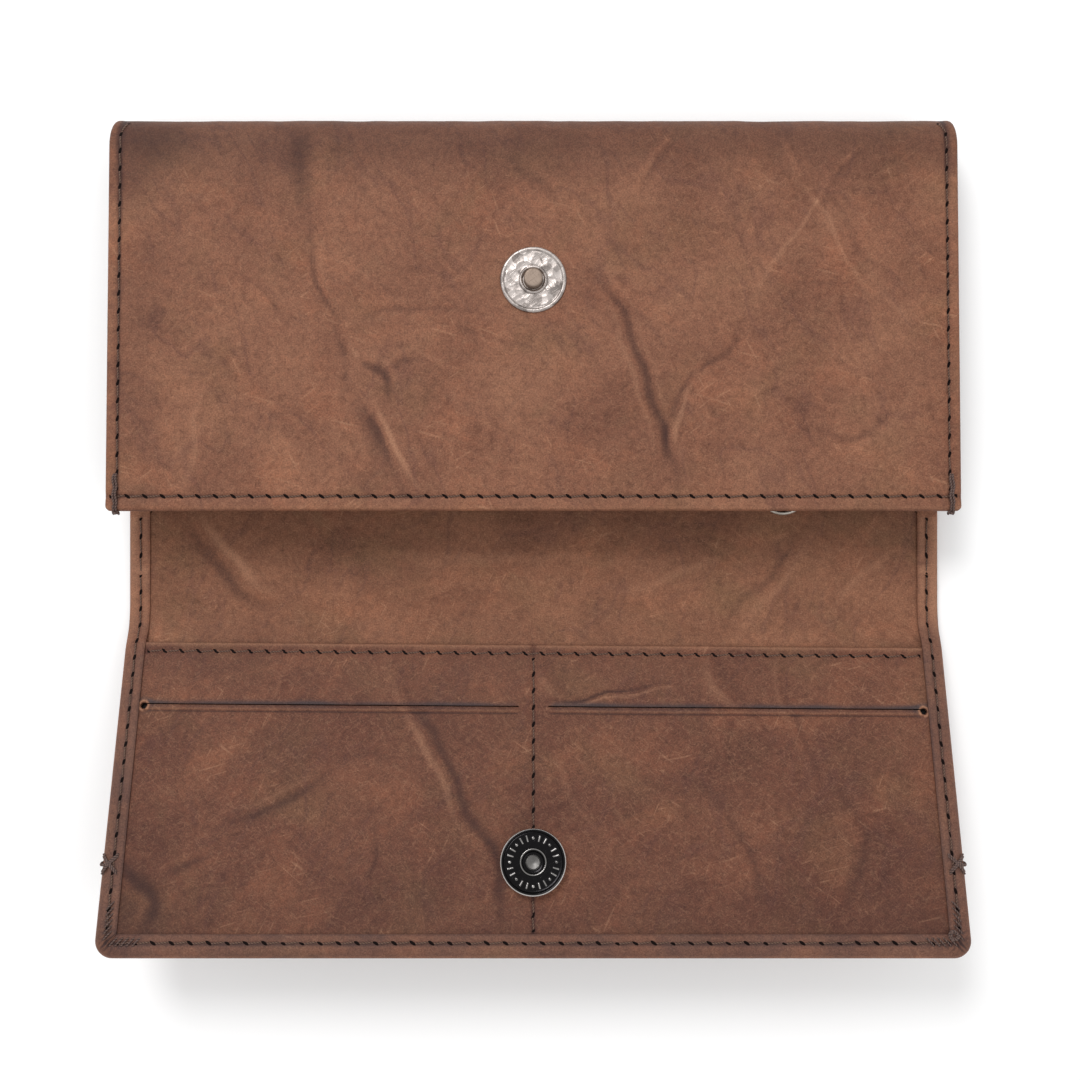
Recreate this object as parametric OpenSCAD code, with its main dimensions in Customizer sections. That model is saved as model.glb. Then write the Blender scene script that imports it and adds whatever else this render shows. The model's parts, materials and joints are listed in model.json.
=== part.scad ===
// Long wallet with a snap flap, lying open on its back.
// +X runs along the fold lines, +Y points from the flap to the closed end of the pouch, +Z is up.
// The origin is under the middle of the open wallet, on the surface that it rests on.

/* [Wallet] */
// Width of the back, spine and flap along the folds
wallet_w = 192; // [180:0.5:200]
// Width of the pouch front, which bulges a little
pouch_w = 192.6; // [180:0.2:202]
// Distance from the first fold to the outside of the closed end
pouch_len = 95.15; // [88:0.05:105]
// Thickness of the closed end of the pouch
closed_h = 15.8; // [15:0.1:20]
// Upward slope of the pouch front towards its mouth, in degrees
front_slope = 1.8; // [1:0.1:3]
// Distance from the first fold to the mouth edge, seen from above
mouth_gap = 4.65; // [3:0.05:8]
// Distance between the two folds
spine_len = 20.2; // [20:0.1:24]
// Length of the flap from the second fold to its free edge
flap_len = 76.9; // [70:0.1:80]
// How far the flap springs up when the wallet lies open, in degrees
flap_tilt = 18; // [5:1:25]

/* [Leather] */
// Thickness of the outer leather
leather_t = 1.2; // [1:0.1:1.4]
// Thickness of the lining in the back and the spine
lining_t = 0.8; // [0.6:0.1:1]
// Thickness of the lining in the pouch front
front_lining_t = 0.6; // [0.4:0.1:0.8]
// Thickness of the turned edges
hem_t = 0.6; // [0.4:0.1:0.8]
// Width of the turned edges
hem_w = 5; // [4:0.5:8]
// Radius of the flap's free corners
corner_r = 4; // [2:0.5:8]

/* [Card panel] */
// Distance from the second fold to the top edge of the card panel
card_edge = 7; // [6:0.1:10]
// Distance from the second fold to the card slits
slit_at = 21.7; // [18:0.1:24]
// Inner end of each slit, from the middle
slit_in = 3.4; // [2:0.1:8]
// Outer end of each slit, from the middle
slit_out = 90; // [86:0.1:90]
// Distance from a fold to the middle of the snap, the same on the pouch and the flap
snap_at = 56.7; // [50:0.1:60]

/* [Snap] */
// Radius of the stud's disc
stud_r = 7.5; // [7:0.1:8]
// Radius of the stud's post
post_r = 2.15; // [2:0.05:2.3]
// Radius of the socket's case
case_r = 7.4; // [7:0.1:8]
// Height of the socket above the card panel
case_h = 2.65; // [2.5:0.05:2.7]

/* [Coin pocket] */
// Distance from the closed side of the coin pocket to its mouth fold
pocket_len = 74; // [70:0.5:75]
// Half the width of the coin pocket
pocket_half = 85.5; // [80:0.5:85.5]
// Distance from the closed side of the pocket to the zip
zip_at = 66.8; // [64:0.1:67]
// Distance of the slider's pull from the middle of the zip
pull_x = 57.2; // [0:0.1:65]

/* [Hidden] */
$fn = 48;

// Heights and the places of the folds. The middle of the open wallet's length is at Y = 0.
skin_z = leather_t + lining_t;
flap_reach = flap_len * cos(flap_tilt) + skin_z * sin(flap_tilt);
fold1_y = (spine_len + flap_reach - pouch_len) / 2;
fold2_y = fold1_y - spine_len;
turn_r = closed_h / 2;
turn_y = fold1_y + pouch_len - turn_r;
mouth_y = fold1_y + mouth_gap;
front_len = (turn_y - mouth_y) / cos(front_slope);
front_t = leather_t + front_lining_t;
part_gap = 0.05;

// Stitching
stitch_in = 2.9;
thread_w = 0.5;
thread_h = 0.25;
groove_d = 0.4;
tack_len = 8;

// Flap layers, as heights above the flap's inner surface at the fold
board_t = lining_t;
flap_lining_top = 0.4;
liner_top = 0.7;
card_low = 0.8;
card_top = 1.6;
flap_hem_top = card_top + hem_t;
wall_t = 1;
hem_start = 1;
slit_w = 0.7;
hole_r = 0.85;
liner_in = 7.5;
liner_out = 89;
liner_end = 72;

// Front panel
front_hem_len = 12;
edge_r = front_t / 2;
washer_r = 5.5;
washer_t = 0.4;

// Coin pocket layers, as heights from the middle plane of the zip pocket
pocket_wall = 0.8;
rear_low = -1.9;
rear_top = rear_low + pocket_wall;
face_low = 0.5;
face_top = face_low + pocket_wall;
lip_w = 3.2;
zip_open_half = 4;
pocket_end_y = turn_y - 6.45;
pocket_tilt = front_slope / 2;
inner_front_z = closed_h + (turn_y - pocket_end_y) * tan(front_slope) - front_t / cos(front_slope);
pocket_z = skin_z + (inner_front_z - skin_z - (face_top - rear_low)) / 2 - rear_low;

// Zip
zip_half = 74;
tooth_gap = 0.4;
tooth_w = 1.2;
tooth_low = -0.4;
tooth_top = 1;
tape_low = 0.1;
stop_len = 1.5;
slider_len = 9;
slider_half = 3.3;
slider_t = 0.5;
slider_clear = 0.1;
bail_span = 6;
bail_r = 0.45;
leg_r = 0.5;
bail_z = 3.45;
ring_r = 5.45;
ring_wire = 0.55;
ring_z = 2.4;
ring_offset = 4.3;

// Gussets
gusset_t = 0.7;
gusset_fold_x = 84;
gusset_ridge_x = 92;
gusset_flange_x = 91;
gusset_ends = [turn_y - 1.5, mouth_y + 0.8];

// A panel's own frame: the panel runs towards -Y, its face looks along +Z, and it slopes up.
module panel_frame(y, z, slope) {
    translate([0, y, z])
        rotate([-slope, 0, 0])
            children();
}

module front_frame() {
    panel_frame(turn_y, closed_h, front_slope) children();
}

module flap_frame() {
    panel_frame(fold2_y, skin_z, flap_tilt) children();
}

module pocket_frame() {
    panel_frame(pocket_end_y, pocket_z, pocket_tilt) children();
}

// A flat piece between two distances from the start of a panel, centred on x
module slab(x, w, s0, s1, z0, z1) {
    translate([x - w / 2, -s1, z0])
        cube([w, s1 - s0, z1 - z0]);
}

// A profile drawn in the YZ plane, extruded along X
module along_x(w) {
    rotate([90, 0, 90])
        linear_extrude(height = w, center = true)
            children();
}

// A panel's outline with two rounded corners at its free end
module panel_outline(w, len, r) {
    translate([-w / 2, -(len - r)])
        square([w, len - r]);
    translate([-w / 2 + r, -len])
        square([w - 2 * r, len / 2]);
    for (side = [-1, 1])
        translate([side * (w / 2 - r), -(len - r)])
            circle(r);
}

// The strip along the sides and the free end of the flap
module flap_edge(inset) {
    difference() {
        panel_outline(wallet_w, flap_len, corner_r);
        panel_outline(wallet_w - 2 * inset, flap_len - inset, max(corner_r - inset, 0.5));
        translate([-wallet_w, -hem_start])
            square([2 * wallet_w, 2 * hem_start]);
    }
}

// A layer of the pouch's back or the spine
module floor_layer(w, y0, y1, z0, z1) {
    translate([-w / 2, y0, z0])
        cube([w, y1 - y0, z1 - z0]);
}

// Pouch, back half

module back_panel() color([0.47, 0.32, 0.25]) {
    difference() {
        floor_layer(wallet_w, fold1_y + part_gap, turn_y, 0, leather_t);
        for (side = [-1, 1])
            translate([side * (wallet_w / 2 - stitch_in), 0, 0])
                floor_layer(thread_w + 0.1, fold1_y + 2, turn_y - 1, -1, groove_d);
    }
}

module back_lining() color([0.44, 0.30, 0.23]) {
    floor_layer(wallet_w - 0.6, fold1_y + part_gap, turn_y, leather_t, skin_z);
}

// Half a tube of material that joins the back to the front
module turn_shell(r_out, r_in) {
    translate([0, turn_y, turn_r])
        along_x(pouch_w)
            intersection() {
                difference() {
                    circle(r_out);
                    circle(r_in);
                }
                translate([0, -turn_r])
                    square([turn_r, 2 * turn_r]);
            }
}

module closed_end_turn() color([0.50, 0.34, 0.27]) {
    turn_shell(turn_r, turn_r - leather_t);
}

module closed_end_lining() color([0.44, 0.30, 0.23]) {
    turn_shell(turn_r - leather_t, turn_r - front_t);
}

module back_seam_threads() color([0.20, 0.13, 0.11]) {
    for (side = [-1, 1])
        translate([side * (wallet_w / 2 - stitch_in), 0, 0])
            floor_layer(thread_w, fold1_y + 3, turn_y - 2, part_gap, part_gap + thread_h);
}

// Gussets: a folded sheet between the back and the front, drawn as a path across the pouch

function inner_front(y) =
    closed_h + (turn_y - y) * tan(front_slope) - front_t / cos(front_slope) - part_gap;

// The path across the gusset at a distance y along the pouch
function gusset_path(y) =
    let (
        low = skin_z + gusset_t / 2 + part_gap,
        high = inner_front(y) - gusset_t / 2,
        rise = high - low
    )
    [
        [wallet_w / 2, low],
        [gusset_flange_x, low],
        [gusset_fold_x, low + 0.25 * rise],
        [gusset_ridge_x, low + 0.5 * rise],
        [gusset_fold_x, low + 0.75 * rise],
        [gusset_flange_x, high],
        [wallet_w / 2, high]
    ];

function unit(v) = v / norm(v);
function left_of(v) = [-v[1], v[0]];

// The offset of point i of a path to its left, along the mitre
function mitre(path, i, dist) =
    let (
        last = len(path) - 1,
        into = unit(i == 0 ? path[1] - path[0] : path[i] - path[i - 1]),
        out_of = unit(i == last ? path[last] - path[last - 1] : path[i + 1] - path[i]),
        side = unit(left_of(into) + left_of(out_of)),
        reach = dist / max(side * left_of(into), 0.4)
    )
    path[i] + reach * side;

function sheet_outline(path, t) =
    concat(
        [for (i = [0 : len(path) - 1]) mitre(path, i, t / 2)],
        [for (i = [len(path) - 1 : -1 : 0]) mitre(path, i, -t / 2)]
    );

module gusset() {
    ends = [for (y = gusset_ends) sheet_outline(gusset_path(y), gusset_t)];
    n = len(ends[0]);
    points = [for (k = [0, 1]) for (p = ends[k]) [p[0], gusset_ends[k], p[1]]];
    half = n / 2;
    sides = [for (i = [0 : n - 1]) let (j = (i + 1) % n) each [[i, j, n + j], [i, n + j, n + i]]];
    caps = [for (i = [0 : half - 2]) let (a = i, b = i + 1, c = n - 2 - i, d = n - 1 - i)
        each [[a, d, c], [a, c, b], [n + a, n + b, n + c], [n + a, n + c, n + d]]];
    polyhedron(points = points, faces = concat(sides, caps));
}

module left_gusset() color([0.42, 0.28, 0.22]) {
    mirror([1, 0, 0]) gusset();
}

module right_gusset() color([0.42, 0.28, 0.22]) {
    gusset();
}

// Zipped coin pocket

module coin_pocket_rear_wall() color([0.44, 0.30, 0.24]) {
    w = 2 * pocket_half;
    pocket_frame() {
        slab(0, w, 0, pocket_len, rear_low, rear_top);
        slab(0, w, 0, pocket_wall, rear_low, face_top);
        slab(0, w, pocket_len - pocket_wall, pocket_len, rear_low, face_top);
        slab(0, w, pocket_len - lip_w, pocket_len, face_low, face_top);
        for (side = [-1, 1]) {
            slab(side * (pocket_half - 0.4), 0.8, 0, pocket_len, rear_low, face_low);
            slab(side * (pocket_half + 2), 4, 0, pocket_len, -0.7, 0.1);
        }
    }
}

module coin_pocket_front_wall() color([0.46, 0.31, 0.25]) {
    pocket_frame()
        slab(0, 2 * pocket_half - 2, pocket_wall + 0.1, zip_at - zip_open_half, face_low, face_top);
}

module coin_pocket_seam_threads() color([0.20, 0.13, 0.11]) {
    pocket_frame() {
        for (s = [pocket_wall + 2, zip_at - zip_open_half - 1.5, pocket_len - 1.8])
            slab(0, 2 * zip_half, s - thread_w / 2, s + thread_w / 2, face_top, face_top + thread_h);
    }
}

module zip_tape_mouth_side() color([0.17, 0.12, 0.10]) {
    pocket_frame()
        slab(0, 2 * zip_half + 16, zip_at + tooth_gap + tooth_w, pocket_len - 1, tape_low, face_low);
}

module zip_tape_inner_side() color([0.17, 0.12, 0.10]) {
    pocket_frame()
        slab(0, 2 * zip_half + 16, zip_at - 6, zip_at - tooth_gap - tooth_w, tape_low, face_low);
}

module zip_teeth_mouth_side() color([0.72, 0.68, 0.62]) {
    s = zip_at + tooth_gap;
    pocket_frame()
        slab(0, 2 * zip_half, s, s + tooth_w, tooth_low, tooth_top);
}

module zip_teeth_inner_side() color([0.72, 0.68, 0.62]) {
    s = zip_at - tooth_gap;
    pocket_frame()
        slab(0, 2 * zip_half, s - tooth_w, s, tooth_low, tooth_top);
}

module zip_end_stops() color([0.72, 0.68, 0.62]) {
    reach = tooth_gap + tooth_w;
    pocket_frame() {
        for (side = [-1, 1])
            slab(side * (zip_half + stop_len / 2), stop_len, zip_at - reach, zip_at + reach, tooth_low, tooth_top);
    }
}

// One plate of the slider, rounded at both ends
module slider_plate(z0) {
    translate([0, -zip_at, z0])
        linear_extrude(height = slider_t)
            intersection() {
                translate([pull_x - slider_len + 1.5, -slider_half])
                    square([slider_len, 2 * slider_half]);
                translate([pull_x + 1.5 - slider_len / 2, 0])
                    circle(slider_len / 2 + 0.4);
            }
}

module zip_slider() color([0.78, 0.76, 0.72]) {
    plate_z = tooth_top + slider_clear;
    pocket_frame() {
        slider_plate(plate_z);
        slider_plate(tooth_low - slider_clear - slider_t);
        translate([pull_x - 5.5, -zip_at - 0.3, tooth_low - slider_clear])
            cube([3, 0.6, plate_z - tooth_low + slider_clear]);
        for (x = [pull_x - bail_span, pull_x])
            translate([x, -zip_at, plate_z])
                cylinder(r = leg_r, h = bail_z + bail_r - plate_z);
        translate([pull_x - bail_span, -zip_at, bail_z])
            rotate([0, 90, 0])
                cylinder(r = bail_r, h = bail_span);
    }
}

module pull_ring() color([0.82, 0.80, 0.76]) {
    pocket_frame()
        translate([pull_x, -(zip_at + ring_offset), ring_z])
            rotate_extrude()
                translate([ring_r, 0])
                    circle(ring_wire);
}

// Pouch, front half

module front_panel() color([0.54, 0.38, 0.31]) {
    snap_s = (turn_y - fold1_y - snap_at) / cos(front_slope);
    front_frame()
        difference() {
            union() {
                slab(0, pouch_w, 2 * part_gap, front_len - edge_r, -leather_t, 0);
                slab(0, pouch_w, front_len - front_hem_len, front_len - edge_r, -front_t, -leather_t);
                translate([0, -front_len + edge_r, -edge_r])
                    along_x(pouch_w)
                        difference() {
                            circle(edge_r);
                            translate([0, -front_t])
                                square(2 * front_t);
                        }
            }
            translate([0, -snap_s, -2 * front_t])
                cylinder(r = 1.1, h = 3 * front_t);
        }
}

module front_lining() color([0.44, 0.30, 0.23]) {
    snap_s = (turn_y - fold1_y - snap_at) / cos(front_slope);
    front_frame()
        difference() {
            slab(0, pouch_w - 0.6, 2 * part_gap, front_len - front_hem_len - 1, -front_t, -leather_t);
            translate([0, -snap_s, -2 * front_t])
                cylinder(r = washer_r + 0.2, h = 3 * front_t);
        }
}

module mouth_hem_thread() color([0.20, 0.13, 0.11]) {
    s = front_len - 3.3;
    front_frame()
        slab(0, pouch_w - 2 * stitch_in - 2, s - thread_w / 2, s + thread_w / 2, 0, thread_h);
}

module side_seam_thread(side) {
    front_frame()
        slab(side * (pouch_w / 2 - 2.7), thread_w, 4, front_len - 4.5, 0, thread_h);
}

module left_seam_thread() color([0.20, 0.13, 0.11]) {
    side_seam_thread(-1);
}

module right_seam_thread() color([0.20, 0.13, 0.11]) {
    side_seam_thread(1);
}

module mouth_backtacks() color([0.16, 0.10, 0.09]) {
    front_frame() {
        for (side = [-1, 1])
            slab(side * (pouch_w / 2 - 1.9), 0.9, front_len - tack_len, front_len - 0.8, 0, thread_h + 0.1);
    }
}

// The snap's stud: a disc with a low ring and a post, its shank and its spread prong plate
module snap_stud() color([0.80, 0.79, 0.77]) {
    snap_s = (turn_y - fold1_y - snap_at) / cos(front_slope);
    front_frame()
        translate([0, -snap_s, 0])
            rotate_extrude($fn = 64)
                polygon([
                    [0, -front_t],
                    [1, -front_t],
                    [1, 0],
                    [stud_r, 0],
                    [stud_r, 0.6],
                    [stud_r - 0.4, 1],
                    [stud_r - 1, 1],
                    [stud_r - 1.3, 0.75],
                    [3.3, 0.75],
                    [3.05, 1.2],
                    [post_r + 0.1, 1.3],
                    [post_r, 1.5],
                    [post_r, 2.7],
                    [post_r - 0.25, 2.95],
                    [0, 2.95]
                ]);
}

module snap_stud_washer() color([0.62, 0.60, 0.57]) {
    snap_s = (turn_y - fold1_y - snap_at) / cos(front_slope);
    front_frame()
        translate([0, -snap_s, -leather_t - washer_t])
            difference() {
                cylinder(r = washer_r, h = washer_t);
                translate([0, 0, -1])
                    cylinder(r = 1.1, h = 3);
            }
}

// Spine

module spine_leather() color([0.47, 0.32, 0.25]) {
    y0 = fold2_y + part_gap;
    y1 = fold1_y - part_gap;
    difference() {
        union() {
            floor_layer(wallet_w, y0, y1, 0, leather_t);
            for (side = [-1, 1]) {
                translate([side * (wallet_w - wall_t) / 2, 0, 0])
                    floor_layer(wall_t, y0 + hem_start, y1 - hem_start, leather_t - 0.01, skin_z + hem_t);
                translate([side * (wallet_w - hem_w) / 2, 0, 0])
                    floor_layer(hem_w, y0 + hem_start, y1 - hem_start, skin_z, skin_z + hem_t);
            }
        }
        for (side = [-1, 1])
            translate([side * (wallet_w / 2 - stitch_in), 0, 0])
                floor_layer(thread_w + 0.1, y0 + 1.2, y1 - 1.2, -1, groove_d);
    }
}

module spine_lining() color([0.51, 0.36, 0.29]) {
    floor_layer(wallet_w - 2 * wall_t - 0.1, fold2_y + part_gap, fold1_y - part_gap, leather_t, skin_z);
}

module spine_seam_threads() color([0.20, 0.13, 0.11]) {
    for (side = [-1, 1])
        translate([side * (wallet_w / 2 - stitch_in), 0, 0]) {
            floor_layer(thread_w, fold2_y + 2, fold1_y - 2, skin_z + hem_t, skin_z + hem_t + thread_h);
            floor_layer(thread_w, fold2_y + 2, fold1_y - 2, part_gap, part_gap + thread_h);
        }
}

// Flap

module flap_leather() color([0.45, 0.30, 0.24]) {
    flap_frame() {
        translate([0, 0, -skin_z])
            linear_extrude(height = leather_t)
                panel_outline(wallet_w, flap_len, corner_r);
        translate([0, 0, -board_t - 0.01])
            linear_extrude(height = card_top + board_t + 0.02)
                flap_edge(wall_t);
        translate([0, 0, card_top])
            linear_extrude(height = hem_t)
                flap_edge(hem_w);
    }
}

module flap_board() color([0.62, 0.55, 0.45]) {
    inset = wall_t + 0.1;
    flap_frame()
        translate([0, -hem_start, -board_t])
            linear_extrude(height = board_t)
                panel_outline(wallet_w - 2 * inset, flap_len - inset - hem_start, corner_r - inset);
}

module flap_lining() color([0.44, 0.30, 0.24]) {
    inset = wall_t + 0.1;
    flap_frame()
        translate([0, -hem_start, 0])
            linear_extrude(height = flap_lining_top)
                panel_outline(wallet_w - 2 * inset, flap_len - inset - hem_start, corner_r - inset);
}

module card_panel() color([0.46, 0.31, 0.25]) {
    inset = wall_t + 0.1;
    flap_frame()
        difference() {
            translate([0, -card_edge, card_low])
                linear_extrude(height = card_top - card_low)
                    panel_outline(wallet_w - 2 * inset, flap_len - inset - card_edge, corner_r - inset);
            for (side = [-1, 1]) {
                slab(side * (slit_in + slit_out) / 2, slit_out - slit_in,
                    slit_at - slit_w / 2, slit_at + slit_w / 2, 0, 3);
                translate([side * slit_out, -slit_at, 0])
                    cylinder(r = hole_r, h = 3);
            }
            translate([0, -snap_at, 0])
                cylinder(r = 1.1, h = 3);
        }
}

module slot_liner(side) {
    flap_frame()
        slab(side * (liner_in + liner_out) / 2, liner_out - liner_in,
            slit_at - 2, liner_end, flap_lining_top, liner_top);
}

module left_slot_liner() color([0.55, 0.38, 0.32]) {
    slot_liner(-1);
}

module right_slot_liner() color([0.55, 0.38, 0.32]) {
    slot_liner(1);
}

module snap_socket_case() color([0.33, 0.32, 0.31]) {
    flap_frame()
        translate([0, -snap_at, card_top])
            rotate_extrude($fn = 64)
                polygon([
                    [1.8, 0],
                    [case_r, 0],
                    [case_r, case_h - 0.5],
                    [case_r - 0.5, case_h],
                    [3.4, case_h],
                    [2.9, case_h - 0.6],
                    [post_r + 0.25, case_h - 0.7],
                    [post_r + 0.25, 0.4],
                    [2.7, 0.4],
                    [2.7, case_h - 1],
                    [case_r - 0.4, case_h - 1],
                    [case_r - 0.4, 0.3],
                    [1.8, 0.3]
                ]);
}

module snap_socket_magnet() color([0.25, 0.25, 0.26]) {
    flap_frame()
        translate([0, -snap_at, card_top + 0.35])
            difference() {
                cylinder(r = case_r - 0.5, h = case_h - 1.4);
                translate([0, 0, -1])
                    cylinder(r = 2.8, h = 6);
            }
}

module snap_socket_rivet() color([0.55, 0.52, 0.48]) {
    flap_frame()
        translate([0, -snap_at, 0])
            rotate_extrude()
                polygon([
                    [0, flap_lining_top],
                    [1, flap_lining_top],
                    [1, card_top],
                    [1.7, card_top],
                    [1.7, card_top + 0.5],
                    [1.4, card_top + 0.6],
                    [0, card_top + 0.4]
                ]);
}

module snap_socket_washer() color([0.62, 0.60, 0.57]) {
    flap_frame()
        translate([0, -snap_at, flap_lining_top])
            difference() {
                cylinder(r = washer_r, h = card_low - flap_lining_top);
                translate([0, 0, -1])
                    cylinder(r = 1.1, h = 3);
            }
}

module card_edge_thread() color([0.20, 0.13, 0.11]) {
    s = card_edge + 2.2;
    flap_frame()
        slab(0, wallet_w - 2 * hem_w - 1, s - thread_w / 2, s + thread_w / 2, card_top, card_top + thread_h);
}

module card_divider_thread() color([0.20, 0.13, 0.11]) {
    flap_frame() {
        slab(0, thread_w, card_edge + 3, snap_at - case_r - 0.3, card_top, card_top + thread_h);
        slab(0, thread_w, snap_at + case_r + 0.3, flap_len - hem_w - 0.3, card_top, card_top + thread_h);
    }
}

module flap_edge_thread() color([0.20, 0.13, 0.11]) {
    top = flap_hem_top + thread_h;
    flap_frame() {
        for (side = [-1, 1])
            slab(side * (wallet_w / 2 - stitch_in), thread_w, hem_start + 1, flap_len - 4.2, flap_hem_top, top);
        slab(0, wallet_w - 2 * stitch_in - 2.5, flap_len - 3.4, flap_len - 3.4 + thread_w, flap_hem_top, top);
    }
}

module flap_bartacks() color([0.16, 0.10, 0.09]) {
    flap_frame() {
        for (side = [-1, 1])
            slab(side * (wallet_w / 2 - stitch_in + 1.2), 1.6, snap_at - 1.2, snap_at + 1.2,
                flap_hem_top, flap_hem_top + thread_h + 0.1);
    }
}

back_panel();
back_lining();
closed_end_turn();
closed_end_lining();
back_seam_threads();
left_gusset();
right_gusset();
coin_pocket_rear_wall();
coin_pocket_front_wall();
coin_pocket_seam_threads();
zip_tape_mouth_side();
zip_tape_inner_side();
zip_teeth_mouth_side();
zip_teeth_inner_side();
zip_end_stops();
zip_slider();
pull_ring();
front_panel();
front_lining();
mouth_hem_thread();
left_seam_thread();
right_seam_thread();
mouth_backtacks();
snap_stud();
snap_stud_washer();
spine_leather();
spine_lining();
spine_seam_threads();
flap_leather();
flap_board();
flap_lining();
card_panel();
left_slot_liner();
right_slot_liner();
snap_socket_case();
snap_socket_magnet();
snap_socket_rivet();
snap_socket_washer();
card_edge_thread();
card_divider_thread();
flap_edge_thread();
flap_bartacks();
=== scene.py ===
"""Looks of the long wallet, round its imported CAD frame. Lengths are in millimetres until a mesh is made."""

import json
import math

import bpy
import numpy as np
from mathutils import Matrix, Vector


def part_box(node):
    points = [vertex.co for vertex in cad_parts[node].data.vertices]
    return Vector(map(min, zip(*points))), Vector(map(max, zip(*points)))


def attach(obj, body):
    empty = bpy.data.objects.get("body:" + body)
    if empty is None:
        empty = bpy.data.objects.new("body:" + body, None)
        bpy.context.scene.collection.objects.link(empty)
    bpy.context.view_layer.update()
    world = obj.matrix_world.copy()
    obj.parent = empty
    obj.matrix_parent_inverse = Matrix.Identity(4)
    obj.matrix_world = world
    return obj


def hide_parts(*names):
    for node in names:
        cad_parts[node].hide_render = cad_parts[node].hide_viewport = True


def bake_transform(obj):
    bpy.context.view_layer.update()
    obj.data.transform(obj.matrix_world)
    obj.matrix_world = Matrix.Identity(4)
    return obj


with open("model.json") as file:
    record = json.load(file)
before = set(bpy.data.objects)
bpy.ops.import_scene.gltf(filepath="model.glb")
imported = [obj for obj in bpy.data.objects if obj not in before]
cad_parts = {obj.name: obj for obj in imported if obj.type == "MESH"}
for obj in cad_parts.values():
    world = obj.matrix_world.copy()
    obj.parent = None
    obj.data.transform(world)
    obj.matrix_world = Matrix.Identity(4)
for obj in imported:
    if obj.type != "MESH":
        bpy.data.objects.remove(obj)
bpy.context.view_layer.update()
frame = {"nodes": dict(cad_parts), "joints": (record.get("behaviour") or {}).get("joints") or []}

MM = 0.001
PI = math.pi


# ---------------------------------------------------------------- the frame's sizes

JOINTS = {joint["name"]: joint for joint in frame["joints"]}


def joint_at(name):
    """A joint's place in millimetres."""
    return 1000.0 * np.array(JOINTS[name]["pos_m"])


def node_box(name):
    """A CAD node's lowest and highest corners in millimetres."""
    low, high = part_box(name)
    return 1000.0 * np.array(low), 1000.0 * np.array(high)


fold1_y, skin = joint_at("spine_fold")[1:]
fold2_y = joint_at("flap_fold")[1]
turn_y, closed_h = joint_at("mouth_open")[1:]
zip_pin = joint_at("ring_swing")
flap_tilt = math.radians(-JOINTS["flap_fold"]["range_deg"][0])
pocket_tilt = math.asin(JOINTS["ring_swing"]["axis"][1])
front_slope = 2 * pocket_tilt

wallet_half = node_box("back_panel")[1][0]
pouch_half = node_box("front_panel")[1][0]
mouth_y = node_box("front_panel")[0][1]
front_len = (turn_y - mouth_y) / math.cos(front_slope)
flap_len = (fold2_y - node_box("flap_leather")[0][1] - skin * math.sin(flap_tilt)) / math.cos(flap_tilt)

stud_low, stud_high = node_box("snap_stud")
stud_u = turn_y - (stud_low[1] + stud_high[1]) / 2
case_low, case_high = node_box("snap_socket_case")
snap_s = ((fold2_y - (case_low[1] + case_high[1]) / 2) * math.cos(flap_tilt)
          + ((case_low[2] + case_high[2]) / 2 - skin) * math.sin(flap_tilt))

TURN_R = closed_h / 2
ARC = TURN_R * (PI / 2 - front_slope)
QUARTER = TURN_R * PI / 2
MID_Y = (fold1_y + fold2_y) / 2
SPLIT_Y = fold1_y + 3.6
BEND = 4.0
BEND_R = BEND / math.tan(flap_tilt / 2)

LEATHER = 1.2
TURNED = 0.55
HEM = 5.0
PITCH = 4.0
STITCH_IN = 2.9
SIDE_SEAM_IN = 2.7
MOUTH_SEAM_IN = 3.3
FLAP_SEAM_IN = 3.2
FRONT_ROLL = 0.9
OUTSIDE_LEVEL = 0.34

LINING = 0.55
LINING_IN = 1.5
LINING_AT = 1.8
GUSSET = 0.5
GUSSET_GAP = 0.03

CARD_TOP = 1.6
CARD_IN = 2.3
CARD_EDGE = 7.0
CARD_SEAM = CARD_EDGE + 2.2
CARD_HOLE = 0.45
BOARD_IN = 2.4
SLIT_AT = 21.7
SLIT_W = 0.3
SLIT_IN = 3.4
SLIT_OUT = 90.0
LINER_IN = 7.5
LINER_OUT = 88.0
LINER_END = 72.0
SNAP_ROOM = 7.6

ZIP_AT = 66.8
ZIP_HALF = 74.0
TOOTH_PITCH = 2.0
RING_N = 2.4
RING_WIRE = 0.55
POCKET_HALF = 85.4

front_end = ARC + TURN_R * math.tan(front_slope) + front_len
stud_y = ARC + TURN_R * math.tan(front_slope) + stud_u / math.cos(front_slope)
back_end = QUARTER + turn_y - SPLIT_Y
flap_corner = MID_Y - fold2_y
flap_end = flap_corner + flap_len
HIDE_TO_MID = QUARTER + turn_y - MID_Y
SIDES = ((-1, "left"), (1, "right"))


# ---------------------------------------------------------------- small maths

def smooth(low, high, value):
    """0 below low, 1 above high, and a soft step between."""
    t = np.clip((value - low) / (high - low), 0.0, 1.0)
    return t * t * (3.0 - 2.0 * t)


def bell(distance, width):
    return np.exp(-(distance / width) ** 2)


def grid(*parts):
    """Several grids of numbers as one grid of places or pairs."""
    return np.stack(np.broadcast_arrays(*parts), -1)


def waves(x, y, size, seed, count=7):
    """Soft random waves of about that size, between about -1 and 1."""
    rng = np.random.default_rng(seed)
    total = 0.0
    for _ in range(count):
        turn = rng.uniform(0, 2 * PI)
        rate = 2 * PI / (size * rng.uniform(0.7, 1.5))
        total = total + np.sin(rate * (x * math.cos(turn) + y * math.sin(turn)) + rng.uniform(0, 2 * PI))
    return total / count ** 0.5 / 1.4


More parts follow.
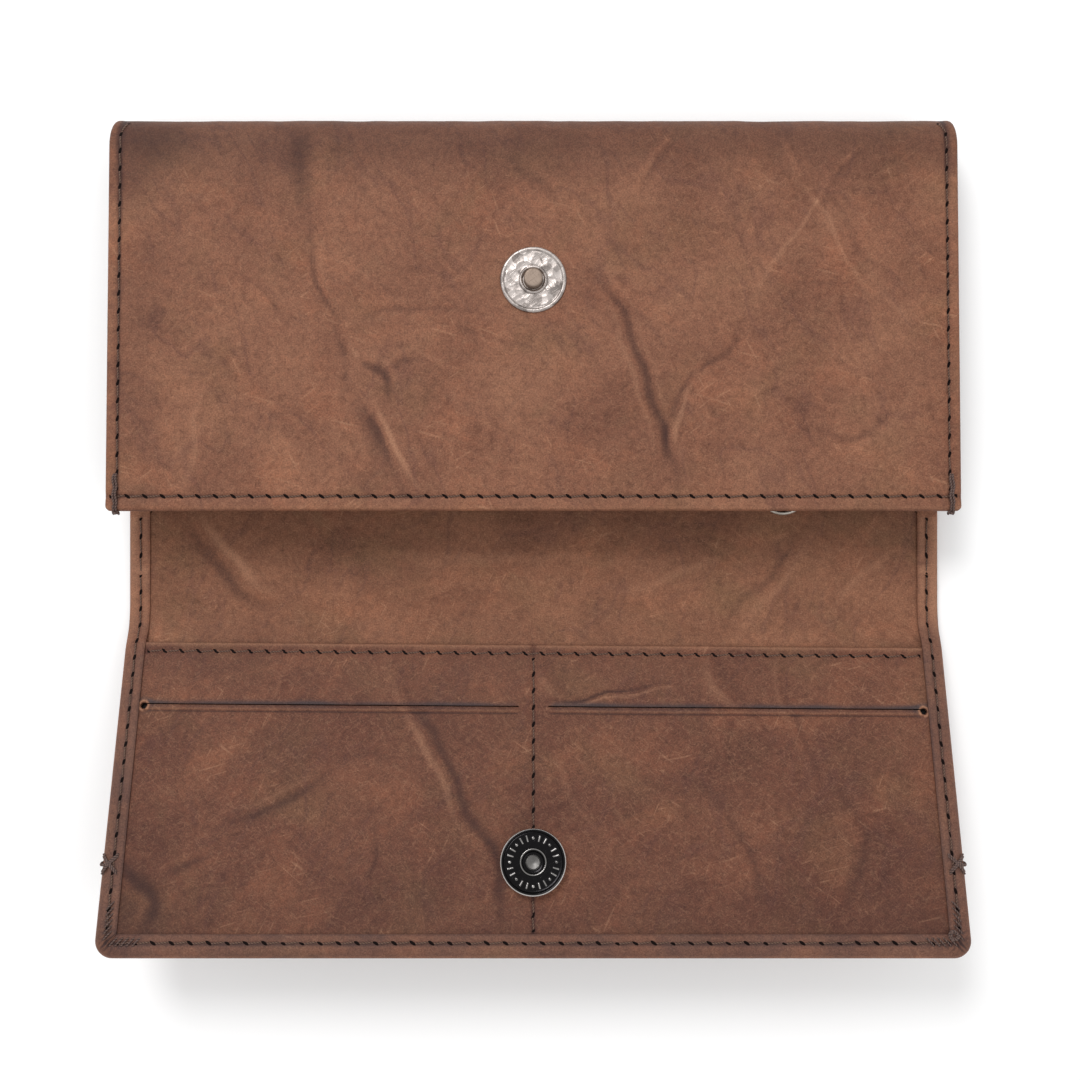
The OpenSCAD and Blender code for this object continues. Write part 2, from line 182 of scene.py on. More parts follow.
def curve_through(points, steps=6):
    """A smooth line through a few points."""
    p = np.array(points, float)
    if len(p) == 2:
        return p
    ends = np.vstack([2 * p[0] - p[1], p, 2 * p[-1] - p[-2]])
    t = np.linspace(0, 1, steps, endpoint=False)[:, None]
    made = []
    for a, b, c, d in zip(ends, ends[1:], ends[2:], ends[3:]):
        made.append(0.5 * (2 * b + (c - a) * t + (2 * a - 5 * b + 4 * c - d) * t ** 2
                           + (3 * b - a - 3 * c + d) * t ** 3))
    return np.vstack(made + [p[-1:]])


def near_line(x, y, points):
    """Distance from each place to a line, the side of it, and the share of the line's length there."""
    line = curve_through(points)
    best = np.full(np.shape(x), 1e9)
    side = np.zeros(np.shape(x))
    share = np.zeros(np.shape(x))
    for k, (a, b) in enumerate(zip(line, line[1:])):
        d = b - a
        t = np.clip(((x - a[0]) * d[0] + (y - a[1]) * d[1]) / max(d @ d, 1e-9), 0, 1)
        away = np.hypot(x - a[0] - t * d[0], y - a[1] - t * d[1])
        closer = away < best
        best = np.where(closer, away, best)
        side = np.where(closer, np.sign(d[0] * (y - a[1]) - d[1] * (x - a[0])), side)
        share = np.where(closer, (k + t) / (len(line) - 1), share)
    return best, side, share


def creases(x, y, lines):
    """Height and painted shade of creases: each is darkened along its line and given the opposite tone on one
    side beside it, as light from that side would. Each is (points, width, height, shade); a shade below 0 is
    a painted highlight.
    """
    height = np.zeros(np.shape(x))
    crease_shading = np.zeros(np.shape(x))
    wx = x + 0.8 * waves(x, y, 16, 71) + 0.12 * waves(x, y, 4, 72)
    wy = y + 0.8 * waves(x, y, 15, 73) + 0.12 * waves(x, y, 3.6, 74)
    for points, width, lift, dark in lines:
        away, side, share = near_line(wx, wy, points)
        taper = np.sqrt(np.clip(np.sin(PI * np.clip(share, 0.02, 0.98)), 0, 1))
        height += 0.6 * lift * taper * bell(away, width)
        # Painted light from one side: beside each crease, on one side only, the tone is reversed.
        beside = (side > 0) * bell(away - 2.0 * width, 0.8 * width)
        crease_shading += taper * dark * (bell(away, 1.1 * width) - 0.5 * beside)
    return height, crease_shading


# ---------------------------------------------------------------- places on the wallet
# x runs along the folds, y along the leather and n from its outer face inwards.

def front_place(x, y, n):
    """y starts at the outermost line of the closed end, and goes over the turn and along the front."""
    angle = np.minimum(y, ARC) / TURN_R
    reach = TURN_R - n
    u = y - ARC - TURN_R * math.tan(front_slope)
    on_turn = y < ARC
    out_y = np.where(on_turn, turn_y + reach * np.cos(angle),
                     turn_y - u * math.cos(front_slope) - n * math.sin(front_slope))
    out_z = np.where(on_turn, TURN_R + reach * np.sin(angle),
                     closed_h + u * math.sin(front_slope) - n * math.cos(front_slope))
    return grid(x, out_y, out_z)


def back_place(x, y, n):
    """y starts at the same outermost line, and goes under the turn and along the back to the spine."""
    angle = np.minimum(y, QUARTER) / TURN_R
    flat = np.maximum(y - QUARTER, 0.0)
    reach = TURN_R - n
    return grid(x, turn_y + reach * np.cos(angle) - flat, TURN_R - reach * np.sin(angle))


def flap_place(x, y, n):
    """y starts at the middle of the spine, and goes round the second fold and along the flap."""
    turn = flap_tilt * np.clip((y - flap_corner + BEND) / (2 * BEND), 0, 1)
    reach = BEND_R - (n - skin)
    s = y - flap_corner
    flat_y = MID_Y - y
    bend_y = fold2_y + BEND - reach * np.sin(turn)
    bend_z = skin + BEND_R - reach * np.cos(turn)
    rise_y = fold2_y - s * math.cos(flap_tilt) + (n - skin) * math.sin(flap_tilt)
    rise_z = skin + s * math.sin(flap_tilt) + (n - skin) * math.cos(flap_tilt)
    out_y = np.where(s < -BEND, flat_y, np.where(s > BEND, rise_y, bend_y))
    out_z = np.where(s < -BEND, n, np.where(s > BEND, rise_z, bend_z))
    return grid(x, out_y, out_z)


def card_place(x, s, n):
    """s is the distance from the second fold, and n the height above the inside of the flap."""
    return flap_place(x, s + flap_corner, n + skin)


def stud_place(x, y, n):
    """Places round the stud: y towards the closed end, n up from the front panel."""
    return front_place(x, stud_y - y, -n)


def pocket_place(x, u, n):
    """u is the distance from the closed side of the coin pocket, and n the height above its middle."""
    back, up = ZIP_AT - u, n - RING_N
    c, s = math.cos(pocket_tilt), math.sin(pocket_tilt)
    return grid(x, zip_pin[1] + back * c + up * s, zip_pin[2] - back * s + up * c)


# ---------------------------------------------------------------- meshes

def placed(thing):
    bpy.context.scene.collection.objects.link(thing)
    return thing


def make_piece(name, points, faces, material, uv=None, fields=None):
    """A mesh object from points in millimetres. uv is in millimetres too, one pair for each point."""
    mesh = bpy.data.meshes.new(name)
    mesh.from_pydata((np.asarray(points) * MM).tolist(), [], [list(f) for f in faces])
    mesh.materials.append(material)
    if uv is not None:
        layer = mesh.uv_layers.new(name="UVMap")
        order = np.zeros(len(mesh.loops), np.int64)
        mesh.loops.foreach_get("vertex_index", order)
        layer.data.foreach_set("uv", (np.asarray(uv)[order] * MM).astype(np.float32).ravel())
    for key, values in (fields or {}).items():
        mesh.attributes.new(key, "FLOAT", "POINT").data.foreach_set("value", values.astype(np.float32))
    mesh.polygons.foreach_set("use_smooth", [True] * len(mesh.polygons))
    mesh.update()
    mesh.set_sharp_from_angle(angle=math.radians(50))
    return placed(bpy.data.objects.new(name, mesh))


def grid_normals(base):
    along = np.cross(np.gradient(base, axis=1), np.gradient(base, axis=0))
    return along / np.maximum(np.linalg.norm(along, axis=-1, keepdims=True), 1e-9)


def shell(name, base, facing, out, thick, material, uv, fields=None, keep=None):
    """A closed sheet on a grid of places. Its seen face stands out from them, and the other lies behind."""
    rows, cols = base.shape[:2]
    normal = grid_normals(base)
    flip = normal[rows // 2, cols // 2] @ np.array(facing, float) < 0
    if flip:
        normal = -normal
    face = base + normal * np.broadcast_to(out, (rows, cols))[..., None]
    rear = face - normal * np.broadcast_to(thick, (rows, cols))[..., None]
    number = np.arange(rows * cols).reshape(rows, cols)
    corners = [number[:-1, :-1], number[:-1, 1:], number[1:, 1:], number[1:, :-1]]
    kept = np.ones((rows - 1, cols - 1), bool) if keep is None else keep
    padded = np.pad(kept, 1)
    open_to = [padded[:-2, 1:-1], padded[1:-1, 2:], padded[2:, 1:-1], padded[1:-1, :-2]]
    faces = [np.stack(corners, -1)[kept], np.stack(corners[::-1], -1)[kept] + rows * cols]
    for k in range(4):
        rim = kept & ~open_to[k]
        p, q = corners[k][rim], corners[(k + 1) % 4][rim]
        faces.append(np.stack([q, p, p + rows * cols, q + rows * cols], -1))
    faces = np.concatenate(faces)
    if flip:
        faces = faces[:, ::-1]
    used, faces = np.unique(faces, return_inverse=True)
    faces = faces.reshape(-1, 4)
    points = np.concatenate([face.reshape(-1, 3), rear.reshape(-1, 3)])[used]
    twice = {k: np.concatenate([v.ravel(), v.ravel()])[used] for k, v in (fields or {}).items()}
    flat_uv = np.concatenate([uv.reshape(-1, 2)] * 2)[used]
    return make_piece(name, points, faces, material, flat_uv, twice)


def spaced(start, end, step, fine=0.15, margin=2.5):
    """Places from start to end, about a step apart, and closer near both ends."""
    close = [0.0, 0.4 * fine, fine, 2 * fine, 3.5 * fine, 0.4 * margin, 0.7 * margin]
    middle = np.linspace(margin, end - start - margin, max(2, round((end - start - 2 * margin) / step) + 1))
    return start + np.concatenate([close, middle, (end - start) - np.array(close)[::-1]])


def rounded(distance, thick):
    """How far a face sinks at a rounded edge, and how thick the sheet is there."""
    r = thick / 2
    share = np.sqrt(np.clip(1 - (1 - np.clip(distance / r, 0, 1)) ** 2, 0.03, 1))
    return -r * (1 - share), thick * share


def edge_distance(x, y, x0, x1, y0, y1):
    return np.minimum(np.minimum(x - x0, x1 - x), np.minimum(y - y0, y1 - y))


def tube(points, radius, sides=8, closed=False, up=(0, 0, 1)):
    """A round wire along points, with the corners of its rings, faces and a uv along and round it."""
    p = np.asarray(points, float)
    count = len(p)
    tangent = (np.roll(p, -1, 0) - np.roll(p, 1, 0)) if closed else np.gradient(p, axis=0)
    tangent /= np.linalg.norm(tangent, axis=1, keepdims=True)
    side = np.cross(tangent, np.broadcast_to(np.array(up, float), p.shape))
    side /= np.maximum(np.linalg.norm(side, axis=1, keepdims=True), 1e-9)
    lift = np.cross(side, tangent)
    turn = np.linspace(0, 2 * PI, sides, endpoint=False)
    r = np.broadcast_to(radius, (count,))[:, None, None]
    c, s = np.cos(turn)[None, :, None], np.sin(turn)[None, :, None]
    ring = p[:, None] + r * (c * side[:, None] + s * lift[:, None])
    number = np.arange(count * sides).reshape(count, sides)
    ahead = np.roll(number, -1, 0) if closed else number[1:]
    here = number if closed else number[:-1]
    quads = np.stack([here, np.roll(here, -1, 1), np.roll(ahead, -1, 1), ahead], -1).reshape(-1, 4)
    faces = quads.tolist()
    if not closed:
        faces += [number[0, ::-1].tolist(), number[-1].tolist()]
    length = np.concatenate([[0], np.cumsum(np.linalg.norm(np.diff(p, axis=0), axis=1))])
    uv = grid(length[:, None], np.linspace(0, 1, sides)[None]).reshape(-1, 2)
    return ring.reshape(-1, 3), faces, uv


def join_parts(parts):
    """Several (points, faces, uv) as one."""
    points, faces, uv, start = [], [], [], 0
    for p, f, t in parts:
        points.append(p)
        uv.append(t)
        faces += [[i + start for i in face] for face in f]
        start += len(p)
    return np.concatenate(points), faces, np.concatenate(uv)


def lathe(profile, place, turns=128, relief=None):
    """A turned part from (radius, height) pairs, which starts and ends on its axis."""
    profile = np.array(profile, float)
    angle = np.linspace(0, 2 * PI, turns, endpoint=False)
    r, h = profile[1:-1, 0][:, None], profile[1:-1, 1][:, None]
    x, y = r * np.cos(angle), r * np.sin(angle)
    h = np.broadcast_to(h, x.shape)
    if relief is not None:
        h = h + relief(r, angle, h)
    body = place(x, y, h).reshape(-1, 3)
    tips = [place(np.array([0.0]), np.array([0.0]), np.array([profile[k, 1]])) for k in (0, -1)]
    rings = len(profile) - 2
    number = np.arange(rings * turns).reshape(rings, turns)
    after = np.roll(number, -1, 1)
    faces = np.stack([number[:-1], after[:-1], after[1:], number[1:]], -1).reshape(-1, 4).tolist()
    first, last = rings * turns, rings * turns + 1
    faces += [[first, b, a] for a, b in zip(number[0], after[0])]
    faces += [[last, a, b] for a, b in zip(number[-1], after[-1])]
    points = np.concatenate([body, *tips])
    plan = np.concatenate([grid(x, y).reshape(-1, 2), np.zeros((2, 2))])
    return points, faces, plan


# ---------------------------------------------------------------- materials

def rgb(red, green, blue):
    """A linear colour from 0-255 display values."""
    shares = [c / 255 for c in (red, green, blue)]
    return (*(c / 12.92 if c < 0.0405 else ((c + 0.055) / 1.055) ** 2.4 for c in shares), 1)


class Maker:
    """Builds one node material."""

    def __init__(self, name, roughness=0.5, metallic=0.0, specular=0.5):
        self.material = bpy.data.materials.new(name)
        self.material.use_nodes = True
        self.tree = self.material.node_tree
        self.tree.nodes.clear()
        self.shader = self.tree.nodes.new("ShaderNodeBsdfPrincipled")
        output = self.tree.nodes.new("ShaderNodeOutputMaterial")
        self.tree.links.new(self.shader.outputs[0], output.inputs["Surface"])
        self.shader.inputs["Roughness"].default_value = roughness
        self.shader.inputs["Metallic"].default_value = metallic
        self.shader.inputs["Specular IOR Level"].default_value = specular

    def add(self, kind, inputs=None, **settings):
        node = self.tree.nodes.new(kind)
        for key, value in settings.items():
            setattr(node, key, value)
        for key, value in (inputs or {}).items():
            if isinstance(value, bpy.types.NodeSocket):
                self.tree.links.new(value, node.inputs[key])
            else:
                node.inputs[key].default_value = value
        return node

    def uv_mm(self):
        """The surface's own coordinates in millimetres."""
        uv = self.add("ShaderNodeUVMap", uv_map="UVMap").outputs[0]
        return self.add("ShaderNodeVectorMath", {0: uv, "Scale": 1000.0}, operation="SCALE").outputs[0]

    def object_mm(self):
        place = self.add("ShaderNodeTexCoord").outputs["Object"]
        return self.add("ShaderNodeVectorMath", {0: place, "Scale": 1000.0}, operation="SCALE").outputs[0]

    def moved(self, vector, turn=0.0, stretch=1.0, shift=(0, 0, 0)):
        """Coordinates shifted, turned, and then drawn out along that direction."""
        return self.add("ShaderNodeMapping", {"Vector": vector, "Location": shift, "Rotation": (0, 0, turn),
                                              "Scale": (stretch, 1, 1)}, vector_type="TEXTURE").outputs[0]

    def noise(self, vector, size, detail=3.0, rough=0.55, distortion=0.0):
        """Noise with features of about that size in millimetres."""
        return self.add("ShaderNodeTexNoise", {"Vector": vector, "Scale": 1.0 / size, "Detail": detail,
                                               "Roughness": rough, "Distortion": distortion}).outputs[0]

    def math(self, operation, a, b=0.0, c=0.0):
        return self.add("ShaderNodeMath", {0: a, 1: b, 2: c}, operation=operation).outputs[0]

    def times(self, a, b):
        return self.math("MULTIPLY", a, b)

    def from_half(self, value):
        """How far a value is from a half, which is small along thin winding lines of a noise."""
        return self.math("ABSOLUTE", self.math("SUBTRACT", value, 0.5))

    def step(self, value, low, high, to_low=0.0, to_high=1.0):
        """A soft step of a value from low to high."""
        inputs = {"Value": value, "From Min": low, "From Max": high, "To Min": to_low, "To Max": to_high}
        return self.add("ShaderNodeMapRange", inputs, interpolation_type="SMOOTHSTEP").outputs[0]

    def mix(self, share, a, b, way="MIX"):
        node = self.add("ShaderNodeMix", data_type="RGBA", blend_type=way)
        for socket, value in ((node.inputs[0], share), (node.inputs[6], a), (node.inputs[7], b)):
            if isinstance(value, bpy.types.NodeSocket):
                self.tree.links.new(value, socket)
            else:
                socket.default_value = value
        return node.outputs[2]

    def ramp(self, value, stops):
        node = self.add("ShaderNodeValToRGB", {"Fac": value})
        while len(node.color_ramp.elements) < len(stops):
            node.color_ramp.elements.new(0.5)
        for element, (place, colour) in zip(node.color_ramp.elements, stops):
            element.position = place
            element.color = colour
        return node.outputs[0]

    def field(self, name):
        return self.add("ShaderNodeAttribute", attribute_name=name).outputs["Fac"]

    def bump(self, height, distance, strength=1.0, after=None):
        inputs = {"Height": height, "Distance": distance * MM, "Strength": strength}
        if after is not None:
            inputs["Normal"] = after
        return self.add("ShaderNodeBump", inputs).outputs[0]

    def finish(self, colour=None, roughness=None, normal=None):
        for key, value in (("Base Color", colour), ("Roughness", roughness), ("Normal", normal)):
            if isinstance(value, bpy.types.NodeSocket):
                self.tree.links.new(value, self.shader.inputs[key])
            elif value is not None:
                self.shader.inputs[key].default_value = value
        return self.material


def leather(name, dark, middle, light, seed, warm=0.30, olive=0.32, glow=0.16, gloss=0.60):
    """Pull-up leather: clouds of three browns, warm and olive patches, veins, fibres and a fine grain."""
    m = Maker(name, specular=glow)
    uv = m.moved(m.uv_mm(), shift=(seed * -37.0, seed * -11.0, 0))
    clouds = m.noise(uv, 24, 5, 0.6, 0.5)
    colour = m.ramp(clouds, [(0.30, rgb(*dark)), (0.50, rgb(*middle)), (0.70, rgb(*light))])
    patches = m.noise(m.moved(uv, turn=0.7, stretch=1.8, shift=(80, 30, 0)), 12, 4, 0.6, 0.4)
    colour = m.mix(m.times(m.step(patches, 0.46, 0.74), warm), colour, rgb(158, 100, 72))
    green = m.noise(m.moved(uv, turn=-0.6, stretch=1.6, shift=(10, 90, 0)), 15, 4, 0.6, 0.5)
    colour = m.mix(m.times(m.step(green, 0.48, 0.74), olive), colour, rgb(110, 84, 60))
    fold = m.noise(m.moved(uv, turn=1.1, stretch=2.2, shift=(5, 5, 0)), 16, 3, 0.5, 0.6)
    vein = m.step(m.from_half(fold), 0.030, 0.0)
    vein = m.times(vein, m.step(patches, 0.58, 0.44))
    colour = m.mix(m.times(vein, 0.30), colour, rgb(84, 54, 50))
    mottle = m.noise(uv, 1.7, 6, 0.70, 0.6)
    colour = m.mix(1.0, colour, m.ramp(mottle, [(0.30, (0.70, 0.67, 0.66, 1)), (0.5, (1, 1, 1, 1)),
                                                (0.72, (1.24, 1.22, 1.20, 1))]), "MULTIPLY")
    fibre, deep = (172, 130, 102), (80, 52, 46)
    for size, turn, stretch, share, tint in ((1.5, 0.5, 2.5, 0.16, fibre), (1.9, -0.7, 3.0, 0.14, fibre),
                                             (1.7, 1.3, 2.2, 0.20, deep)):
        place = m.moved(uv, turn=turn, stretch=stretch, shift=(9 * size, 5 * size, 0))
        strand = m.noise(place, size, 2, 0.5, 1.6)
        strand = m.step(m.from_half(strand), 0.028, 0.004)
        colour = m.mix(m.times(strand, share), colour, rgb(*tint))
    mask = m.step(patches, 0.50, 0.60)
    for turn, shift in ((1.15, 12), (-0.65, 55), (0.25, 31)):
        streak = m.noise(m.moved(uv, turn=turn, stretch=11, shift=(shift, shift, 0)), 0.8, 1, 0.5, 0.5)
        streak = m.times(m.step(streak, 0.64, 0.76), mask)
        colour = m.mix(m.times(streak, 0.22), colour, rgb(186, 142, 112))
    # The tone field darkens the leather above 0 and lightens it below 0. It carries painted shade and painted
    # highlights, as well as stains and uneven tone.
    tone = m.field("tone")
    colour = m.mix(m.step(tone, 0.0, 1.0, 0.0, 0.85), colour, rgb(52, 33, 32))
    colour = m.mix(m.step(tone, 0.0, -1.0, 0.0, 0.7), colour, rgb(176, 130, 102))
    colour = m.mix(m.step(m.field("soot"), 0.0, 1.0, 0.0, 0.9), colour, rgb(66, 58, 60))
    pores = m.noise(uv, 0.34, 3, 0.65)
    colour = m.mix(0.9, colour, m.ramp(pores, [(0.30, (0.60, 0.56, 0.55, 1)), (0.66, (1.18, 1.17, 1.16, 1))]),
                   "MULTIPLY")
    # Near black where the tone is above 1: painted shadow, as in the punched holes.
    colour = m.mix(m.step(tone, 1.0, 2.0), colour, rgb(13, 10, 10))
    rough = m.math("MULTIPLY_ADD", mottle, 0.24, gloss - 0.12)
    normal = m.bump(pores, 0.08, 0.6)
    normal = m.bump(mottle, 0.26, 0.6, normal)
    return m.finish(colour, rough, normal)


def thread_material(name, colour, light, glow=0.35):
    m = Maker(name, specular=glow)
    uv = m.uv_mm()
    twist = m.add("ShaderNodeTexWave", {"Vector": uv, "Scale": 1.0, "Distortion": 0.6, "Detail": 2.0},
                  bands_direction="DIAGONAL").outputs[1]
    fuzz = m.noise(m.object_mm(), 0.3, 3)
    # The twist bands ramp from the thread's colour to its light colour: painted highlights along the twist.
    shade = m.ramp(twist, [(0.1, rgb(*colour)), (0.9, rgb(*light))])
    shade = m.mix(m.times(fuzz, 0.5), shade, rgb(*colour))
    return m.finish(shade, m.math("MULTIPLY_ADD", fuzz, 0.2, 0.5), m.bump(twist, 0.06, 0.7))


def metal_material(name, colour, roughness, worn, scratches=0.5, dirt=(60, 52, 46), facet_reflection=0.0, bright=None):
    """Metal with clouds, scratches and dirt. Facet cells vary its colour, painted reflection of facets
    catching more or less light, and it is bright where its field says.
    """
    m = Maker(name, metallic=1.0)
    place = m.object_mm()
    cloud = m.noise(place, 1.6, 4, 0.6)
    line = m.noise(m.moved(place, turn=0.7, stretch=12), 0.22, 2)
    cross = m.noise(m.moved(place, turn=-0.9, stretch=12), 0.3, 2)
    mark = m.times(m.step(m.math("MAXIMUM", line, cross), 0.56, 0.72), scratches)
    shade = m.mix(m.step(cloud, 0.42, 0.75, 0.0, 0.5), rgb(*colour), rgb(*worn))
    if facet_reflection:
        # Painted reflection: each cell is lighter or darker, as a facet catching more or less light.
        cell = m.add("ShaderNodeTexVoronoi", {"Vector": place, "Scale": 0.55, "Randomness": 1.0})
        shade = m.mix(facet_reflection, shade, m.ramp(m.math("FRACT", m.times(cell.outputs["Color"], 7.0)),
                                            [(0.0, (0.30, 0.28, 0.27, 1)), (0.6, (1, 1, 1, 1))]), "MULTIPLY")
    shade = m.mix(m.step(m.noise(place, 0.7, 5), 0.60, 0.8, 0.0, 0.6), shade, rgb(*dirt))
    if bright:
        shade = m.mix(m.step(m.field("bright"), 0.1, 0.9), shade, rgb(*bright))
    rough = m.math("MULTIPLY_ADD", mark, 0.25, roughness)
    rough = m.math("MULTIPLY_ADD", cloud, 0.12, rough)
    return m.finish(shade, rough, m.bump(m.math("ADD", mark, m.times(cloud, 0.4)), 0.03, 0.5))


def cloth_material(name, colour, light, yarn):
    """A plain weave, with its yarns that far apart."""
    m = Maker(name, roughness=0.9, specular=0.2)
    uv = m.uv_mm()
    inputs = {"Vector": uv, "Scale": 1.0 / yarn / 3.14, "Distortion": 0.4}
    warp, weft = (m.add("ShaderNodeTexWave", inputs, bands_direction=way).outputs[1] for way in "XY")
    weave = m.times(warp, weft)
    shade = m.ramp(weave, [(0.0, rgb(*colour)), (0.8, rgb(*light))])
    shade = m.mix(m.step(m.noise(uv, 6, 4), 0.4, 0.8, 0.0, 0.5), shade, rgb(*colour))
    return m.finish(shade, None, m.bump(weave, 0.1, 0.7))


def board_material(name):
    m = Maker(name, roughness=0.95, specular=0.2)
    place = m.object_mm()
    fibre = m.noise(m.moved(place, stretch=5), 0.8, 5, 0.7)
    shade = m.ramp(fibre, [(0.3, rgb(138, 120, 96)), (0.7, rgb(172, 154, 128))])
    return m.finish(shade, None, m.bump(fibre, 0.08, 0.5))


outer_leather = leather("outer_leather", (110, 72, 56), (126, 85, 66), (138, 96, 74), 1)
inner_leather = leather("inner_leather", (107, 70, 54), (125, 84, 64), (140, 96, 73), 2, warm=0.3, olive=0.45)
card_leather = leather("card_leather", (86, 53, 43), (98, 62, 49), (108, 70, 54), 3, warm=0.24, olive=0.30)
gusset_leather = leather("gusset_leather", (82, 53, 43), (98, 66, 53), (110, 76, 60), 4)
thread_dark = thread_material("thread", (58, 39, 32), (124, 94, 77))
tack_dark = thread_material("tack_thread", (58, 43, 40), (112, 88, 79))
# Near-black lenses on the surface: painted shadow standing for the stitch holes.
hole_shadow = thread_material("stitch_hole", (16, 8, 7), (26, 14, 12), glow=0.05)
nickel = metal_material("snap_nickel", (190, 181, 176), 0.30, (158, 148, 142), 0.9, facet_reflection=0.75)
post_nickel = metal_material("snap_post", (150, 134, 122), 0.50, (122, 106, 94), 0.6)
black_nickel = metal_material("snap_black_nickel", (30, 29, 30), 0.12, (22, 21, 22), 0.25, dirt=(14, 13, 13),
                              bright=(214, 210, 206))
magnet_metal = metal_material("snap_magnet", (58, 58, 60), 0.45, (40, 40, 42))
steel = metal_material("hidden_steel", (104, 102, 100), 0.35, (70, 68, 66))
brass = metal_material("zip_metal", (206, 194, 170), 0.30, (168, 150, 118))
pull_metal = metal_material("pull_metal", (176, 169, 160), 0.28, (138, 130, 120))
liner_cloth = cloth_material("slot_lining", (96, 66, 56), (128, 90, 76), 0.5)
tape_cloth = cloth_material("zip_tape", (40, 29, 25), (70, 52, 44), 0.45)
card_board = board_material("stiffener")


# ---------------------------------------------------------------- leather with turned edges

def fold_at(first, second, y, reach):
    return first, second, (0, (y + reach) * MM, 0), (0, (y - reach) * MM, 0)


BLENDS = {
    "mouth": fold_at("pouch", "pouch_front", turn_y, 4),
    "fold1": fold_at("pouch", "spine", fold1_y, 3.5),
    "fold2": fold_at("spine", "flap", fold2_y, 5),
    "gusset": ("pouch", "pouch_front", (0, 0, 3 * MM), (0, 0, 13.6 * MM)),
}


def dress(piece, body, *nodes, slot=None):
    """Parents a piece to its body's empty, or, where the body is a fold or the gusset, bakes its place into
    its mesh; and hides the CAD nodes that it stands for.

    The slot, the material's name without the number it gets where the frame has a material of that name, is
    not used.
    """
    if body in BLENDS:
        first, second, start, end = BLENDS[body]
        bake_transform(piece)
        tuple(start)
        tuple(end)
    else:
        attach(piece, body)
    slot or piece.data.materials[0].name.split(".")[0]
    if nodes:
        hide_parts(*nodes)


def turned_columns(count, roll_steps, hem_steps):
    """Columns of a hide: -1 to 1 lie flat, 1 to 2 go round the rolled side, 2 to 3 along the turned hem."""
    flat = np.sin(np.linspace(-1, 1, count) * PI / 2 * 0.35) / math.sin(PI / 2 * 0.35)
    roll = 1 + np.arange(1, roll_steps + 1) / roll_steps
    hem = 2 + np.array([k / hem_steps for k in range(1, hem_steps)] + [0.96, 1.0])
    side = np.concatenate([roll, hem])
    return np.concatenate([-side[::-1], flat, side])


def turned_grid(place, half, rows, end, end_turn, roll, side_hem, end_hem, corner, columns):
    """Places of a hide with its sides turned inwards, and its end too where end_turn lists steps round it."""
    c = columns[None, :]
    ends = len(end_turn) > 0
    d = np.concatenate([np.zeros(len(rows)), end_turn])[:, None]
    y_flat = np.concatenate([rows, np.full(len(end_turn), end)])[:, None]
    r = roll(y_flat)
    r_end = roll(np.array([[end]]))[0, 0]
    reach = np.abs(c)

    def section(step, radius, hem):
        turn = PI * np.clip(step - 1, 0, 1)
        along = np.clip(step - 2, 0, 1) * (hem - radius)
        inset = radius * (1 - np.sin(turn)) + along
        return inset, radius * (1 - np.cos(turn)), radius * turn + along

    side_in, side_n, side_arc = section(reach, r, side_hem)
    side_in = np.where(reach <= 1, half - reach * (half - r), side_in)
    a = np.where(reach <= 1, corner - side_in, corner - r + side_arc)
    end_in, end_n, end_arc = section(np.maximum(d, 1), r_end, end_hem)
    end_in = np.where(d > 0, end_in, end - y_flat)
    b = np.where(d > 0, corner - r_end + end_arc, corner - end_in) if ends else np.full(d.shape, -1e3)
    a, b, side_in, end_in, side_n, end_n = np.broadcast_arrays(a, b, side_in, end_in, side_n, end_n)

    least = 0.4
    end_shift = np.clip(side_in + least - corner, 0, None) * (reach > 2) * (b <= 0)
    side_shift = np.clip(end_in + least - corner, 0, None) * (d > 2) * (a <= 0)
    y_in = end_in + end_shift * (1 - smooth(corner, corner + 6 + 2.5 * side_hem, end_in)) * ends
    x_in = side_in + side_shift * (1 - smooth(corner, corner + 6 + 2.5 * end_hem, side_in))
    height = np.where(d > 0, np.maximum(end_n * (a <= 0), side_n), side_n)

    in_corner = (a > 0) & (b > 0)
    rho = np.maximum(np.maximum(a, b), 1e-6)
    theta = np.where(a >= b, PI / 4 * b / np.maximum(a, 1e-6), PI / 2 - PI / 4 * a / np.maximum(b, 1e-6))
    past = rho - (corner - r_end)
    turn = np.clip(past / r_end, 0, PI)
    inset = np.where(past < 0, corner - rho, r_end * (1 - np.sin(turn)) + np.clip(past - PI * r_end, 0, None))
    arc_r = np.maximum(corner - inset, least)
    x_in = np.where(in_corner, inset + arc_r * (1 - np.cos(theta)), x_in)
    y_in = np.where(in_corner, inset + arc_r * (1 - np.sin(theta)), y_in)
    height = np.where(in_corner, r_end * (1 - np.cos(turn)), height)

    x = np.sign(c) * (half - x_in)
    y = end - y_in
    rim = np.minimum(np.where(reach > 2, (3 - reach) * (side_hem - r), 9.0),
                     np.where(d > 2, (3 - d) * (end_hem - r_end), 9.0))
    on_turn = (reach > 1) | (d > 0)
    flat_in = np.where(on_turn, 0.0, np.minimum(side_in, end_in if ends else 1e3) - r)
    uv_x = np.sign(c) * np.where(reach > 1, half - r + side_arc, half - side_in)
    uv_y = np.where(d > 0, end - r_end + end_arc, y)
    uv_x, uv_y = np.broadcast_arrays(uv_x, uv_y)
    return place(x, y, height), {
        "x": uv_x, "y": uv_y, "n": height, "from_side": x_in, "from_end": y_in,
        "inset": np.minimum(x_in, y_in), "rim": rim, "flat_in": flat_in,
        "turned": np.broadcast_to(on_turn, a.shape)}


def hide(name, base, info, facing, out, uv_y, fields):
    """A piece of outer leather, which is thinned where it is turned."""
    thick = TURNED + (LEATHER - TURNED) * smooth(0.3, 7, info["flat_in"])
    return shell(name, base, facing, out, thick, outer_leather, grid(info["x"], uv_y), fields)


